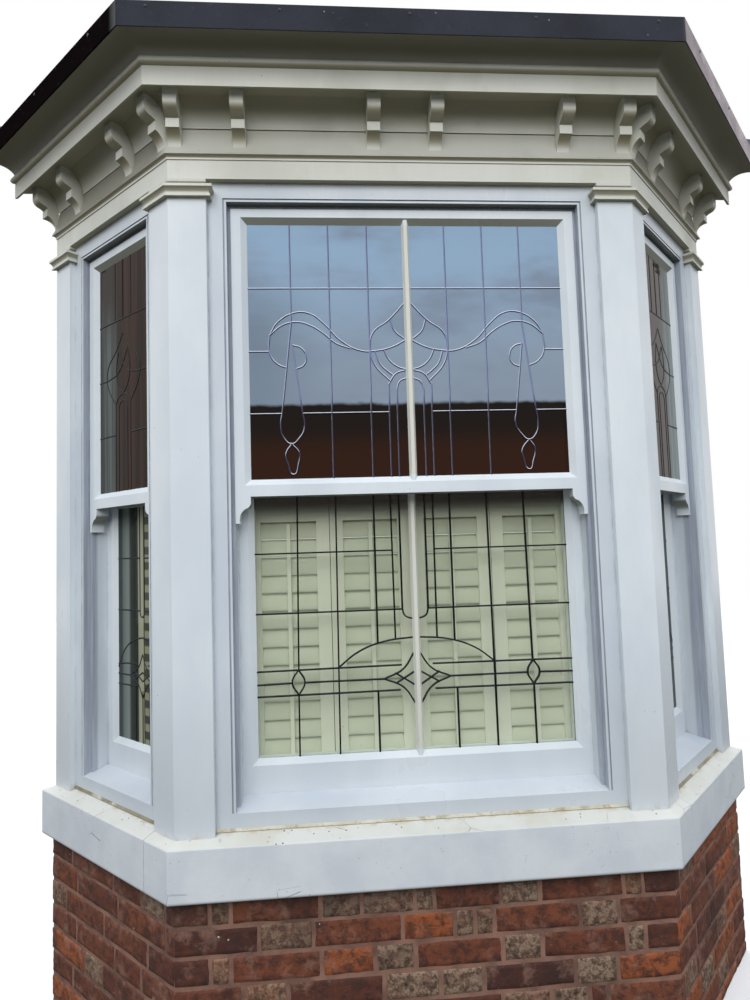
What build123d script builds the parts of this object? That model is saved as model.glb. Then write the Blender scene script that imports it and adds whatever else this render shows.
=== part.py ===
from build123d import *
from math import cos, hypot, radians, sin, tan
import os

os.makedirs("parts", exist_ok=True)

# Canted bay window with sliding sashes on a brick dwarf wall.
# Millimetres. The origin is on the ground, midway across the bay and midway from front to back,
# +X to the right as seen from the street, +Y into the house, +Z up.

# The plan: a front and two canted faces, measured at the outer faces of the four posts.
BAY_FRONT_WIDTH = 1450.0
BAY_DEPTH = 530.0
CANT_DEGREES = 45.0

# Brick dwarf wall.
BRICK_COURSE_HEIGHT = 79.0
WALL_COURSES = 7
PART_COURSE_AT_GROUND = 35.0
WALL_PROUD_OF_POSTS = 5.0
WALL_THICKNESS = 229.0

# Painted stone sill.
SILL_PROUD_OF_POSTS = 33.5
SILL_FACE_HEIGHT = 150.0
SILL_WEATHERING = 21.5
SILL_ARRIS_RADIUS = 6.0
SILL_JOINT_FROM_CORNER = 104.0
SILL_JOINT_GAP = 3.0
SILL_THROAT_WIDTH = 9.0
SILL_THROAT_DEPTH = 5.0
SILL_THROAT_FROM_BRICK = 8.0

# Posts.
POST_FRONT_FACE_WIDTH = 114.0
POST_FACE_WIDTH = 106.0
POST_ARRIS_RADIUS = 3.0
POST_DEPTH = 162.0

# Box frames of the three sash windows.
FRAME_BEHIND_POST = 22.0
FRAME_TOP = 1932.0
LINING_DEPTH = 28.0
LINING_SIGHT_ABOVE_SASH = 12.0
LINING_BEAD_WIDTH = 6.0
LINING_QUIRK_WIDTH = 5.0
LINING_QUIRK_DEPTH = 4.0
TRACK_SIGHT = 10.0
FRONT_LINING_WIDTH = 56.5
CANTED_LINING_WIDTH = 52.8
CILL_NOSE_HEIGHT = 47.0
CILL_RISE = 21.0
CILL_DRIP = 6.0

# Sliding sashes.
SASH_THICKNESS = 45.0
SASH_BEHIND_FRAME_FACE = 21.0
PARTING_BEAD = 20.0
STILE_WIDTH = 47.5
TOP_RAIL_HEIGHT = 44.0
MEETING_RAIL_HEIGHT = 52.0
BOTTOM_RAIL_HEIGHT = 100.0
SASH_TOP = 1860.0
MEETING_RAIL_BOTTOM = 963.0
GLAZING_BEAD_WIDTH = 18.0
GLAZING_BEAD_DEPTH = 15.0
GLAZING_BAR_WIDTH = 24.0
BAR_NOSE_WIDTH = 11.0
BAR_BEHIND_FACE = 3.0
GLASS_THICKNESS = 6.0
GLASS_REBATE = 8.0
HORN_WIDTH = 46.0
HORN_NECK_WIDTH = 30.0
HORN_TIP_WIDTH = 14.0
HORN_HEIGHT = 81.0
HORN_SHOULDER_DROP = 16.0
HORN_WAIST_DROP = 37.0
HORN_ROUND_SAG = 8.0
HORN_HOLLOW_SAG = 5.0

# Capitals of the posts.
CAP_BOTTOM = 1872.0
CAP_HEIGHT = 35.0
CAP_PROJECTION = 20.0
CAP_FILLET_HEIGHT = 8.0
CAP_LOWER_PROJECTION = 14.0
CAP_LOWER_FILLET_HEIGHT = 6.5
CAP_QUIRK = 4.0
CAP_CAVETTO_SAG = 2.7

# Entablature above the windows, levels counted from the top of the sill.
BOARD_THICKNESS = 22.0
ARCHITRAVE_HEIGHT = 59.0
BED_FILLET_PROJECTION = 3.0
BED_FILLET_HEIGHT = 3.5
BED_COVE_HEIGHT = 9.5
FRIEZE_HEIGHT = 86.0
FRIEZE_LIP_PROJECTION = 13.0
FRIEZE_LIP_HEIGHT = 5.0
FRIEZE_TOP_SETBACK = 5.0
FRIEZE_HOLLOW = 5.0
QUIRK_HEIGHT = 4.0
QUIRK_DEPTH = 7.0
EAVES_COVE_HEIGHT = 76.0
EAVES_COVE_PROJECTION = 43.0
EAVES_COVE_SAG = 10.0
HEAD_BEAM_DEPTH = 140.0

# Scroll brackets, in pairs.
BRACKET_WIDTH = 40.0
BRACKET_NOSE_PROJECTION = 75.0
BRACKET_NOSE_DROP = 34.0
BRACKET_BELLY_DROP = 61.0
BRACKET_BELLY_PROJECTION = 58.0
BRACKET_BELLY_SAG = 5.5
BRACKET_BLOCK_DROP = 72.0
BRACKET_BLOCK_PROJECTION = 38.0
BRACKET_BLOCK_HEIGHT = 28.0
BRACKET_QUIRK = 4.0
BRACKET_OGEE_SAG = 1.5
BRACKET_TAIL_DROP = 46.0
BRACKET_TAIL_PROJECTION = 4.5
BRACKET_TAIL_SAG = 8.0
BRACKET_PAIR_SPACING = 194.0
BRACKET_PAIR_FROM_CORNER = 121.0
BRACKET_PAIR_FROM_WALL = 81.5

# Eaves and roof edge.
SOFFIT_THICKNESS = 18.0
CORONA_PROJECTION = 108.6
CORONA_HEIGHT = 58.0
CORONA_THICKNESS = 20.0
CORONA_DROP = 20.0
CORONA_LIP = 7.0
BEAD_RADIUS = 13.5
BEAD_SETBACK = 0.6
CROWN_PROJECTION = 206.4
CROWN_COVE_HEIGHT = 54.0
CROWN_FILLET_HEIGHT = 8.0
CROWN_TOP_WIDTH = 78.0
CROWN_LIP = 6.0
JOIST_WIDTH = 47.0
JOIST_SPACING = 400.0
JOIST_OVERHANG = 60.0
DECK_THICKNESS = 18.0
TRIM_PROJECTION = 210.4
TRIM_HEIGHT = 75.0
TRIM_THICKNESS = 4.0
TRIM_FLANGE = 60.0
ROOF_COVERING_THICKNESS = 4.0
ROOF_FALL_DEGREES = 3.5
FLASHING_THICKNESS = 4.0
FLASHING_HEIGHT = 110.0
CEILING_THICKNESS = 12.5
CEILING_BELOW_JOISTS = 209.5

# Inside: window board and folding louvred shutters behind the lower sashes.
WINDOW_BOARD_THICKNESS = 25.0
WINDOW_BOARD_NOSING = 40.0
SHUTTER_TOP = 985.0
SHUTTER_THICKNESS = 28.0
SHUTTER_SURROUND_WIDTH = 30.0
SHUTTER_LAP = 12.0
SHUTTER_SURROUND_DEPTH = 42.0
SHUTTER_STILE = 42.0
SHUTTER_TOP_RAIL = 95.0
SHUTTER_BOTTOM_RAIL = 95.0
SHUTTER_PANEL_GAP = 2.0
LOUVRE_COUNT = 13
LOUVRE_WIDTH = 58.0
LOUVRE_THICKNESS = 9.0
LOUVRE_TILT_DEGREES = 75.0
TILT_ROD_SIZE = 12.0
TILT_ROD_CLEARANCE = 10.0
FRONT_SHUTTER_PANELS = 4
CANTED_SHUTTER_PANELS = 1

# Margins by which cutting shapes run past what they cut, and how near counts as the same place.
CUT_SPARE = 1.0
SAME_PLACE = 0.1
RUN_PAST_WALL = 0.75 * BAY_DEPTH
ALL_ROUND = 4 * (BAY_FRONT_WIDTH + BAY_DEPTH)

CANT = radians(CANT_DEGREES)
CANTED_LENGTH = BAY_DEPTH / sin(CANT)
MIDWAY = (TRIM_PROJECTION - BAY_DEPTH) / 2

SILL_BOTTOM = PART_COURSE_AT_GROUND + BRICK_COURSE_HEIGHT * WALL_COURSES
SILL_FRONT_TOP = SILL_BOTTOM + SILL_FACE_HEIGHT
SEAT = SILL_FRONT_TOP + SILL_WEATHERING
WALL_INSIDE = WALL_PROUD_OF_POSTS - WALL_THICKNESS
FRAME_BACK = FRAME_BEHIND_POST + HEAD_BEAM_DEPTH
UPPER_SASH_FACE = FRAME_BEHIND_POST + SASH_BEHIND_FRAME_FACE
LOWER_SASH_FACE = UPPER_SASH_FACE + SASH_THICKNESS + PARTING_BEAD
SIGHT_TOP = SASH_TOP + LINING_SIGHT_ABOVE_SASH
CILL_TOP = CILL_NOSE_HEIGHT + CILL_RISE

HEAD_BOTTOM = SEAT + FRAME_TOP
BED_BOTTOM = HEAD_BOTTOM + ARCHITRAVE_HEIGHT
FRIEZE_BOTTOM = BED_BOTTOM + BED_FILLET_HEIGHT + BED_COVE_HEIGHT
FRIEZE_TOP = FRIEZE_BOTTOM + FRIEZE_HEIGHT
SOFFIT_LEVEL = FRIEZE_TOP + QUIRK_HEIGHT + EAVES_COVE_HEIGHT
SOFFIT_TOP = SOFFIT_LEVEL + SOFFIT_THICKNESS
CORONA_BOTTOM = SOFFIT_LEVEL - CORONA_DROP
CORONA_TOP = CORONA_BOTTOM + CORONA_HEIGHT
COVE_BOTTOM = CORONA_TOP + 2 * BEAD_RADIUS
COVE_TOP = COVE_BOTTOM + CROWN_COVE_HEIGHT
DECK_BOTTOM = COVE_TOP + CROWN_FILLET_HEIGHT
DECK_TOP = DECK_BOTTOM + DECK_THICKNESS
TRIM_TOP = DECK_TOP + TRIM_THICKNESS
TRIM_BOTTOM = TRIM_TOP - TRIM_HEIGHT


def front_corner(out):
    """Half width of the front face of the plan line lying 'out' beyond the post faces."""
    return BAY_FRONT_WIDTH / 2 + out * tan(CANT / 2)


def wall_corner(out, back=BAY_DEPTH):
    """Half width of the same line where it reaches the house wall."""
    return front_corner(out) + (back + out) / tan(CANT)


def bay_outline(out, back=BAY_DEPTH):
    """Corners of the plan, from the left wall end round the front to the right wall end."""
    return [
        (-wall_corner(out, back), back),
        (-front_corner(out), -out),
        (front_corner(out), -out),
        (wall_corner(out, back), back),
    ]


def bay_prism(out, bottom, top, back=BAY_DEPTH):
    plan = Polyline(*bay_outline(out, back), close=True)
    return Pos(0, 0, bottom) * extrude(make_face(plan), top - bottom)


def bay_band(out, inside, bottom, top):
    """A flat band of constant width round the three faces, open to the house."""
    hollow = bay_prism(inside, bottom - CUT_SPARE, top + CUT_SPARE, BAY_DEPTH + RUN_PAST_WALL)
    return bay_prism(out, bottom, top) - hollow


def behind_wall():
    return Pos(0, BAY_DEPTH + ALL_ROUND / 2, 0) * Box(ALL_ROUND, ALL_ROUND, ALL_ROUND)


def run_round_bay(section):
    """Sweeps a section, drawn as distance outwards and height, round the bay with mitred corners."""
    back = BAY_DEPTH + RUN_PAST_WALL
    start = Vector(-wall_corner(0, back), back, 0)
    outward = Vector(-sin(CANT), -cos(CANT), 0)
    along = Vector(cos(CANT), -sin(CANT), 0)
    line = Polyline(*[(x, y, 0) for x, y in bay_outline(0, back)])
    placed = Plane(origin=start, x_dir=outward, z_dir=along * -1).location * section
    return sweep(placed, path=line, transition=Transition.RIGHT) - behind_wall()


def polygon(points):
    return make_face(Polyline(*points, close=True))


def bay_face(side):
    """Plane of a window opening: X to the right from outside, Y into the house, Z up, at the sill seat."""
    if side == 0:
        return Plane(origin=(0, 0, SEAT), x_dir=(1, 0, 0), z_dir=(0, 0, 1))
    middle = BAY_FRONT_WIDTH / 2 + CANTED_LENGTH / 2 * cos(CANT)
    rise = CANTED_LENGTH / 2 * sin(CANT)
    x_dir = (cos(CANT), side * sin(CANT), 0)
    return Plane(origin=(side * middle, rise, SEAT), x_dir=x_dir, z_dir=(0, 0, 1))


def stand(side, thing):
    return bay_face(side).location * thing


def block(x0, x1, y0, y1, z0, z1):
    return Pos((x0 + x1) / 2, (y0 + y1) / 2, (z0 + z1) / 2) * Box(x1 - x0, y1 - y0, z1 - z0)


def along_x(points, half):
    """A bar of the given YZ section, reaching 'half' either side of the middle."""
    section = Plane.YZ * polygon(points)
    return extrude(section, half, both=True)


def mirrored(thing):
    return mirror(thing, about=Plane.YZ)


SHUTTER_BACK = FRAME_BACK + SHUTTER_SURROUND_DEPTH
OPENING_HALF = {0: BAY_FRONT_WIDTH / 2 - POST_FRONT_FACE_WIDTH}
SASH_HALF = {0: OPENING_HALF[0] - FRONT_LINING_WIDTH - TRACK_SIGHT}
SHUTTER_HALF = {0: SASH_HALF[0] + SHUTTER_LAP}
PANELS = {0: FRONT_SHUTTER_PANELS}
for canted in (-1, 1):
    OPENING_HALF[canted] = CANTED_LENGTH / 2 - POST_FACE_WIDTH
    SASH_HALF[canted] = OPENING_HALF[canted] - CANTED_LINING_WIDTH - TRACK_SIGHT
    # The inner edge by the house stops at the wall line.
    SHUTTER_HALF[canted] = CANTED_LENGTH / 2 - SHUTTER_BACK / tan(CANT)
    PANELS[canted] = CANTED_SHUTTER_PANELS
SIDE_NAMES = {0: "front", -1: "left", 1: "right"}

parts = {}

# One mass of brickwork from the ground to the underside of the sill.
parts["brick_dwarf_wall"] = bay_band(WALL_PROUD_OF_POSTS, WALL_INSIDE, 0, SILL_BOTTOM)

# The sill is cut in three stones: the front one turns both corners and meets the canted ones
# in a joint a hand's breadth along.
weathering_foot = -FRAME_BEHIND_POST
throat = WALL_PROUD_OF_POSTS + SILL_THROAT_FROM_BRICK
sill_points = [
    (WALL_INSIDE, SILL_BOTTOM),
    (throat, SILL_BOTTOM),
    (throat, SILL_BOTTOM + SILL_THROAT_DEPTH),
    (throat + SILL_THROAT_WIDTH, SILL_BOTTOM + SILL_THROAT_DEPTH),
    (throat + SILL_THROAT_WIDTH, SILL_BOTTOM),
    (SILL_PROUD_OF_POSTS, SILL_BOTTOM),
    (SILL_PROUD_OF_POSTS, SILL_FRONT_TOP),
    (weathering_foot, SEAT),
    (WALL_INSIDE, SEAT),
]
sill_section = polygon(sill_points)
nose = [v for v in sill_section.vertices() if abs(v.X - SILL_PROUD_OF_POSTS) < SAME_PLACE]
sill_section = fillet(nose, SILL_ARRIS_RADIUS)
sill = run_round_bay(sill_section)


def beyond_joint(side, start):
    """Everything on the house side of a sill joint that crosses the canted face."""
    near = side * (start - CANTED_LENGTH / 2)
    far = side * ALL_ROUND
    return stand(side, block(min(near, far), max(near, far), -ALL_ROUND, ALL_ROUND, -SEAT, SEAT))


joint_near = SILL_JOINT_FROM_CORNER
joint_far = SILL_JOINT_FROM_CORNER + SILL_JOINT_GAP
front_stone = sill
canted_stones = []
for side in (-1, 1):
    front_stone = front_stone - beyond_joint(side, joint_near)
    canted_stones.append(sill & beyond_joint(side, joint_far))
parts["sill_stone_front"] = front_stone
parts["sill_stones_canted"] = canted_stones


def on_canted(side, along, inward):
    """Plan point on a canted side, counted along the face from the corner arris and inwards."""
    x = BAY_FRONT_WIDTH / 2 + along * cos(CANT) - inward * sin(CANT)
    y = along * sin(CANT) + inward * cos(CANT)
    return (side * x, y)


def stands_on_sill(plan, top):
    """A post of the given plan, scribed to the weathering of the sill."""
    post = Pos(0, 0, SEAT - SILL_WEATHERING) * extrude(polygon(plan), top - SEAT + SILL_WEATHERING)
    return post - sill


def corner_post(side):
    half = side * (BAY_FRONT_WIDTH / 2)
    inner = side * OPENING_HALF[0]
    plan = [
        (half, 0),
        (inner, 0),
        (inner, POST_DEPTH),
        (side * front_corner(-POST_DEPTH), POST_DEPTH),
        on_canted(side, POST_FACE_WIDTH, POST_DEPTH),
        on_canted(side, POST_FACE_WIDTH, 0),
    ]
    return stands_on_sill(plan, HEAD_BOTTOM)


def wall_post(side):
    start = CANTED_LENGTH - POST_FACE_WIDTH
    plan = [
        on_canted(side, start, 0),
        on_canted(side, CANTED_LENGTH, 0),
        on_canted(side, start, POST_FACE_WIDTH / tan(CANT)),
    ]
    return stands_on_sill(plan, HEAD_BOTTOM)


def stands_at(edge, point):
    return hypot(edge.center().X - point[0], edge.center().Y - point[1]) < SAME_PLACE


for side in (-1, 1):
    post = corner_post(side)
    outer_edges = []
    for point in (
        (side * BAY_FRONT_WIDTH / 2, 0),
        (side * OPENING_HALF[0], 0),
        on_canted(side, POST_FACE_WIDTH, 0),
    ):
        outer_edges += [edge for edge in post.edges().filter_by(Axis.Z) if stands_at(edge, point)]
    parts["corner_post_" + SIDE_NAMES[side]] = fillet(outer_edges, POST_ARRIS_RADIUS)
parts["wall_posts"] = [wall_post(side) for side in (-1, 1)]


# A cap is a fillet, a tall cavetto and a lower fillet, returned round the sides of its post.
def cap_section():
    bottom = SEAT + CAP_BOTTOM
    top = bottom + CAP_HEIGHT
    low = CAP_LOWER_PROJECTION
    low_top = bottom + CAP_LOWER_FILLET_HEIGHT
    cavetto_foot = (low - CAP_QUIRK, low_top)
    cavetto_head = (CAP_PROJECTION, top - CAP_FILLET_HEIGHT)
    with BuildSketch() as section:
        with BuildLine():
            Line((0, bottom), (low, bottom))
            Line((low, bottom), (low, low_top))
            Line((low, low_top), cavetto_foot)
            SagittaArc(cavetto_foot, cavetto_head, CAP_CAVETTO_SAG)
            Line(cavetto_head, (CAP_PROJECTION, top))
            Line((CAP_PROJECTION, top), (0, top))
            Line((0, top), (0, bottom))
        make_face()
    return section.sketch


def cap_along(points):
    start = Vector(*points[0], 0)
    along = (Vector(*points[1], 0) - start).normalized()
    outward = Vector(along.Y, -along.X, 0)
    line = Polyline(*[(x, y, 0) for x, y in points])
    placed = Plane(origin=start, x_dir=outward, z_dir=along * -1).location * cap_section()
    return sweep(placed, path=line, transition=Transition.RIGHT)


def post_cap(side):
    """The cap of a corner post, between the box frames either side of it."""
    inner = side * OPENING_HALF[0]
    points = [
        on_canted(side, POST_FACE_WIDTH, FRAME_BEHIND_POST),
        on_canted(side, POST_FACE_WIDTH, 0),
        (side * BAY_FRONT_WIDTH / 2, 0),
        (inner, 0),
        (inner, FRAME_BEHIND_POST),
    ]
    if side > 0:
        points.reverse()
    return cap_along(points)


def wall_post_cap(side):
    start = CANTED_LENGTH - POST_FACE_WIDTH
    points = [
        on_canted(side, CANTED_LENGTH + POST_FACE_WIDTH, 0),
        on_canted(side, start, 0),
        on_canted(side, start, FRAME_BEHIND_POST),
    ]
    if side > 0:
        points.reverse()
    return cap_along(points) - behind_wall()


caps = [post_cap(side) - parts["corner_post_" + SIDE_NAMES[side]] for side in (-1, 1)]
caps += [wall_post_cap(side) for side in (-1, 1)]
parts["post_caps"] = caps


def lining_quirk(sight):
    """The sunk line that leaves a bead along the inner edge of the lining, head and jambs."""
    near = FRAME_BEHIND_POST - CUT_SPARE
    bottom = FRAME_BEHIND_POST + LINING_QUIRK_DEPTH
    bead = LINING_BEAD_WIDTH
    reach = bead + LINING_QUIRK_WIDTH
    sunk = block(-sight - reach, sight + reach, near, bottom, CILL_NOSE_HEIGHT, SIGHT_TOP + reach)
    kept = block(-sight - bead, sight + bead, near, bottom, CILL_NOSE_HEIGHT, SIGHT_TOP + bead)
    return sunk - kept


# Box frame: beaded lining in front, a set-back track for both sashes, sloping cill.
def box_frame(side):
    outer = OPENING_HALF[side]
    sash = SASH_HALF[side]
    sight = sash + TRACK_SIGHT
    face = FRAME_BEHIND_POST
    track = face + LINING_DEPTH
    slope = CILL_RISE / (LOWER_SASH_FACE - face)
    at_track = CILL_NOSE_HEIGHT + slope * LINING_DEPTH
    below_face = CILL_NOSE_HEIGHT - slope * CUT_SPARE
    body = block(-outer, outer, face, FRAME_BACK, 0, FRAME_TOP)
    lining_cut = along_x(
        [
            (face - CUT_SPARE, below_face),
            (track, at_track),
            (track, SIGHT_TOP),
            (face - CUT_SPARE, SIGHT_TOP),
        ],
        sight,
    )
    sash_cut = along_x(
        [
            (track - CUT_SPARE, at_track - slope * CUT_SPARE),
            (LOWER_SASH_FACE, CILL_TOP),
            (FRAME_BACK + CUT_SPARE, CILL_TOP),
            (FRAME_BACK + CUT_SPARE, SASH_TOP),
            (track - CUT_SPARE, SASH_TOP),
        ],
        sash,
    )
    drip = block(-outer, outer, face, face + CILL_DRIP, 0, CILL_DRIP)
    frame = body - lining_quirk(sight) - lining_cut - sash_cut - drip
    return stand(side, frame) - behind_wall()


def light(half, bottom, top, face):
    """The stepped hole of one light: a splayed glazing bead and the sight beyond it."""
    back = face + SASH_THICKNESS + CUT_SPARE
    hole = block(-half, half, face - CUT_SPARE, back, bottom, top)
    wide = half + GLAZING_BEAD_WIDTH
    outer = Rectangle(2 * wide, top - bottom + 2 * GLAZING_BEAD_WIDTH)
    inner = Rectangle(2 * half, top - bottom)
    middle = (bottom + top) / 2
    near = Plane(origin=(0, face, middle), x_dir=(1, 0, 0), z_dir=(0, -1, 0)).location * outer
    far_origin = (0, face + GLAZING_BEAD_DEPTH, middle)
    far = Plane(origin=far_origin, x_dir=(1, 0, 0), z_dir=(0, -1, 0)).location * inner
    return hole + loft([near, far])


def pane(half, bottom, top, face):
    front = face + GLAZING_BEAD_DEPTH
    wide = half + GLASS_REBATE
    return block(-wide, wide, front, front + GLASS_THICKNESS, bottom - GLASS_REBATE, top + GLASS_REBATE)


def horn(half, face):
    """The scrolled end of a stile below the meeting rail, a hollow over a round seen from the street."""
    shoulder = MEETING_RAIL_BOTTOM - HORN_SHOULDER_DROP
    waist = MEETING_RAIL_BOTTOM - HORN_WAIST_DROP
    low = MEETING_RAIL_BOTTOM - HORN_HEIGHT
    outer = -half
    tip = outer + HORN_TIP_WIDTH
    neck = outer + HORN_NECK_WIDTH
    full = outer + HORN_WIDTH
    with BuildSketch(Plane.XZ) as section:
        with BuildLine():
            Line((outer, MEETING_RAIL_BOTTOM), (outer, low))
            Line((outer, low), (tip, low))
            SagittaArc((tip, low), (neck, waist), HORN_ROUND_SAG)
            SagittaArc((neck, waist), (full, shoulder), -HORN_HOLLOW_SAG)
            Line((full, shoulder), (full, MEETING_RAIL_BOTTOM))
            Line((full, MEETING_RAIL_BOTTOM), (outer, MEETING_RAIL_BOTTOM))
        make_face()
    one = extrude(section.sketch, -SASH_THICKNESS)
    one = Pos(0, face, 0) * one
    return one + mirrored(one)


def glazing_bar(bottom, top, face):
    """The slim upright in the middle of the wide front lights, planted on the glass."""
    half = GLAZING_BAR_WIDTH / 2
    depth = GLAZING_BEAD_DEPTH
    nose = BAR_NOSE_WIDTH / 2
    length = top - bottom + 2 * GLAZING_BEAD_WIDTH
    section = [(-half, depth), (-nose, BAR_BEHIND_FACE), (nose, BAR_BEHIND_FACE), (half, depth)]
    bar = extrude(polygon(section), length)
    return Pos(0, face, bottom - GLAZING_BEAD_WIDTH) * bar


def sash(side, face, bottom, top, bottom_rail, top_rail):
    half = SASH_HALF[side]
    sight = half - STILE_WIDTH
    sight_bottom = bottom + bottom_rail
    sight_top = top - top_rail
    body = block(-half, half, face, face + SASH_THICKNESS, bottom, top)
    body = body - light(sight, sight_bottom, sight_top, face)
    glass = pane(sight, sight_bottom, sight_top, face)
    body = body - glass
    if side == 0:
        body = body + glazing_bar(sight_bottom, sight_top, face)
    return body, glass


def upper_sash(side):
    body, glass = sash(
        side, UPPER_SASH_FACE, MEETING_RAIL_BOTTOM, SASH_TOP, MEETING_RAIL_HEIGHT, TOP_RAIL_HEIGHT
    )
    return body + horn(SASH_HALF[side], UPPER_SASH_FACE), glass


def lower_sash(side):
    top = MEETING_RAIL_BOTTOM + MEETING_RAIL_HEIGHT
    return sash(side, LOWER_SASH_FACE, CILL_TOP, top, BOTTOM_RAIL_HEIGHT, MEETING_RAIL_HEIGHT)


for side, name in SIDE_NAMES.items():
    parts["box_frame_" + name] = box_frame(side)
    upper, upper_glass = upper_sash(side)
    lower, lower_glass = lower_sash(side)
    parts["upper_sash_" + name] = stand(side, upper)
    parts["lower_sash_" + name] = stand(side, lower)
    parts["window_glass_" + name] = [stand(side, pane) for pane in (upper_glass, lower_glass)]

# Timber head over the windows, carrying the entablature and the roof.
parts["head_beam"] = bay_band(-BOARD_THICKNESS, -FRAME_BACK, HEAD_BOTTOM, SOFFIT_LEVEL)
parts["architrave"] = bay_band(0, -BOARD_THICKNESS, HEAD_BOTTOM, BED_BOTTOM)

with BuildSketch() as bed:
    with BuildLine():
        fillet_top = BED_BOTTOM + BED_FILLET_HEIGHT
        Line((-BOARD_THICKNESS, BED_BOTTOM), (BED_FILLET_PROJECTION, BED_BOTTOM))
        Line((BED_FILLET_PROJECTION, BED_BOTTOM), (BED_FILLET_PROJECTION, fillet_top))
        cove_end = (BED_FILLET_PROJECTION + BED_COVE_HEIGHT, FRIEZE_BOTTOM)
        RadiusArc((BED_FILLET_PROJECTION, fillet_top), cove_end, BED_COVE_HEIGHT)
        Line(cove_end, (-BOARD_THICKNESS, FRIEZE_BOTTOM))
        Line((-BOARD_THICKNESS, FRIEZE_BOTTOM), (-BOARD_THICKNESS, BED_BOTTOM))
    make_face()
parts["bed_moulding"] = run_round_bay(bed.sketch)

# The frieze is one great hollow in two pieces: the lower board flares out to a lip, the cove above
# it leans out to the soffit, and a dark quirk parts them.
frieze_lip = (FRIEZE_LIP_PROJECTION, FRIEZE_BOTTOM)
hollow_foot = (FRIEZE_LIP_PROJECTION, FRIEZE_BOTTOM + FRIEZE_LIP_HEIGHT)
hollow_head = (-FRIEZE_TOP_SETBACK, FRIEZE_TOP)
with BuildSketch() as frieze:
    with BuildLine():
        Line((-BOARD_THICKNESS, FRIEZE_BOTTOM), frieze_lip)
        Line(frieze_lip, hollow_foot)
        SagittaArc(hollow_foot, hollow_head, FRIEZE_HOLLOW)
        Line(hollow_head, (-BOARD_THICKNESS, FRIEZE_TOP))
        Line((-BOARD_THICKNESS, FRIEZE_TOP), (-BOARD_THICKNESS, FRIEZE_BOTTOM))
    make_face()
parts["frieze_board"] = run_round_bay(frieze.sketch)

quirk_back = -FRIEZE_TOP_SETBACK - QUIRK_DEPTH
quirk_top = FRIEZE_TOP + QUIRK_HEIGHT
cove_foot = (-FRIEZE_TOP_SETBACK, quirk_top)
cove_head = (EAVES_COVE_PROJECTION, SOFFIT_LEVEL)
with BuildSketch() as cove:
    with BuildLine():
        Line((-BOARD_THICKNESS, FRIEZE_TOP), (quirk_back, FRIEZE_TOP))
        Line((quirk_back, FRIEZE_TOP), (quirk_back, quirk_top))
        Line((quirk_back, quirk_top), cove_foot)
        SagittaArc(cove_foot, cove_head, EAVES_COVE_SAG)
        Line(cove_head, (-BOARD_THICKNESS, SOFFIT_LEVEL))
        Line((-BOARD_THICKNESS, SOFFIT_LEVEL), (-BOARD_THICKNESS, FRIEZE_TOP))
    make_face()
parts["eaves_cove"] = run_round_bay(cove.sketch)


# Scroll bracket: a straight front that turns in under a round belly, an ogee into a small square
# block, then a hollow tail thinning out down the frieze. Its back is scribed to the hollow behind.
def bracket_section():
    nose = BRACKET_NOSE_PROJECTION
    nose_foot = (nose, SOFFIT_LEVEL - BRACKET_NOSE_DROP)
    belly = (BRACKET_BELLY_PROJECTION, SOFFIT_LEVEL - BRACKET_BELLY_DROP)
    block_top = SOFFIT_LEVEL - BRACKET_BLOCK_DROP
    block_bottom = block_top - BRACKET_BLOCK_HEIGHT
    block_face = BRACKET_BLOCK_PROJECTION
    throat = BRACKET_BLOCK_PROJECTION - BRACKET_QUIRK
    tail = (BRACKET_TAIL_PROJECTION, block_bottom - BRACKET_TAIL_DROP)
    back = -FRIEZE_TOP_SETBACK - CUT_SPARE
    with BuildSketch() as outline:
        with BuildLine():
            Line((back, SOFFIT_LEVEL), (nose, SOFFIT_LEVEL))
            Line((nose, SOFFIT_LEVEL), nose_foot)
            SagittaArc(nose_foot, belly, BRACKET_BELLY_SAG)
            SagittaArc(belly, (throat, block_top), -BRACKET_OGEE_SAG)
            Line((throat, block_top), (block_face, block_top))
            Line((block_face, block_top), (block_face, block_bottom))
            Line((block_face, block_bottom), (throat, block_bottom))
            SagittaArc((throat, block_bottom), tail, -BRACKET_TAIL_SAG)
            Line(tail, (back, tail[1]))
            Line((back, tail[1]), (back, SOFFIT_LEVEL))
        make_face()
    return outline.sketch - frieze.sketch - cove.sketch


def bracket_on(side, along):
    """A bracket centred 'along' the face: from the middle on the front, from the corner on a cant."""
    if side == 0:
        foot, run = Vector(along, 0, 0), Vector(1, 0, 0)
    else:
        foot = Vector(*on_canted(side, along, 0), 0)
        run = Vector(cos(CANT), side * sin(CANT), 0)
    outward = Vector(run.Y, -run.X, 0)
    start = foot + run * (BRACKET_WIDTH / 2)
    base = Plane(origin=start, x_dir=outward, z_dir=run * -1)
    return extrude(base.location * bracket_section(), BRACKET_WIDTH) - behind_wall()


outer_pair = BAY_FRONT_WIDTH / 2 - BRACKET_PAIR_FROM_CORNER
front_pairs = (-outer_pair, 0, outer_pair)
canted_pairs = (BRACKET_PAIR_FROM_CORNER, CANTED_LENGTH - BRACKET_PAIR_FROM_WALL)
for side, name in SIDE_NAMES.items():
    pairs = front_pairs if side == 0 else canted_pairs
    brackets = []
    for centre in pairs:
        for step in (-0.5, 0.5):
            brackets.append(bracket_on(side, centre + step * BRACKET_PAIR_SPACING))
    parts["scroll_brackets_" + name] = brackets

# Eaves: soffit board on the head, and the corona nailed to its edge with a thin lip hanging below.
soffit_edge = CORONA_PROJECTION - CORONA_THICKNESS
lip_back = CORONA_PROJECTION - CORONA_LIP
parts["eaves_soffit"] = bay_band(soffit_edge, -FRAME_BACK, SOFFIT_LEVEL, SOFFIT_TOP)
corona = bay_band(CORONA_PROJECTION, soffit_edge, SOFFIT_LEVEL, CORONA_TOP)
corona_lip = bay_band(CORONA_PROJECTION, lip_back, CORONA_BOTTOM, SOFFIT_LEVEL)
parts["corona"] = corona + corona_lip

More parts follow.
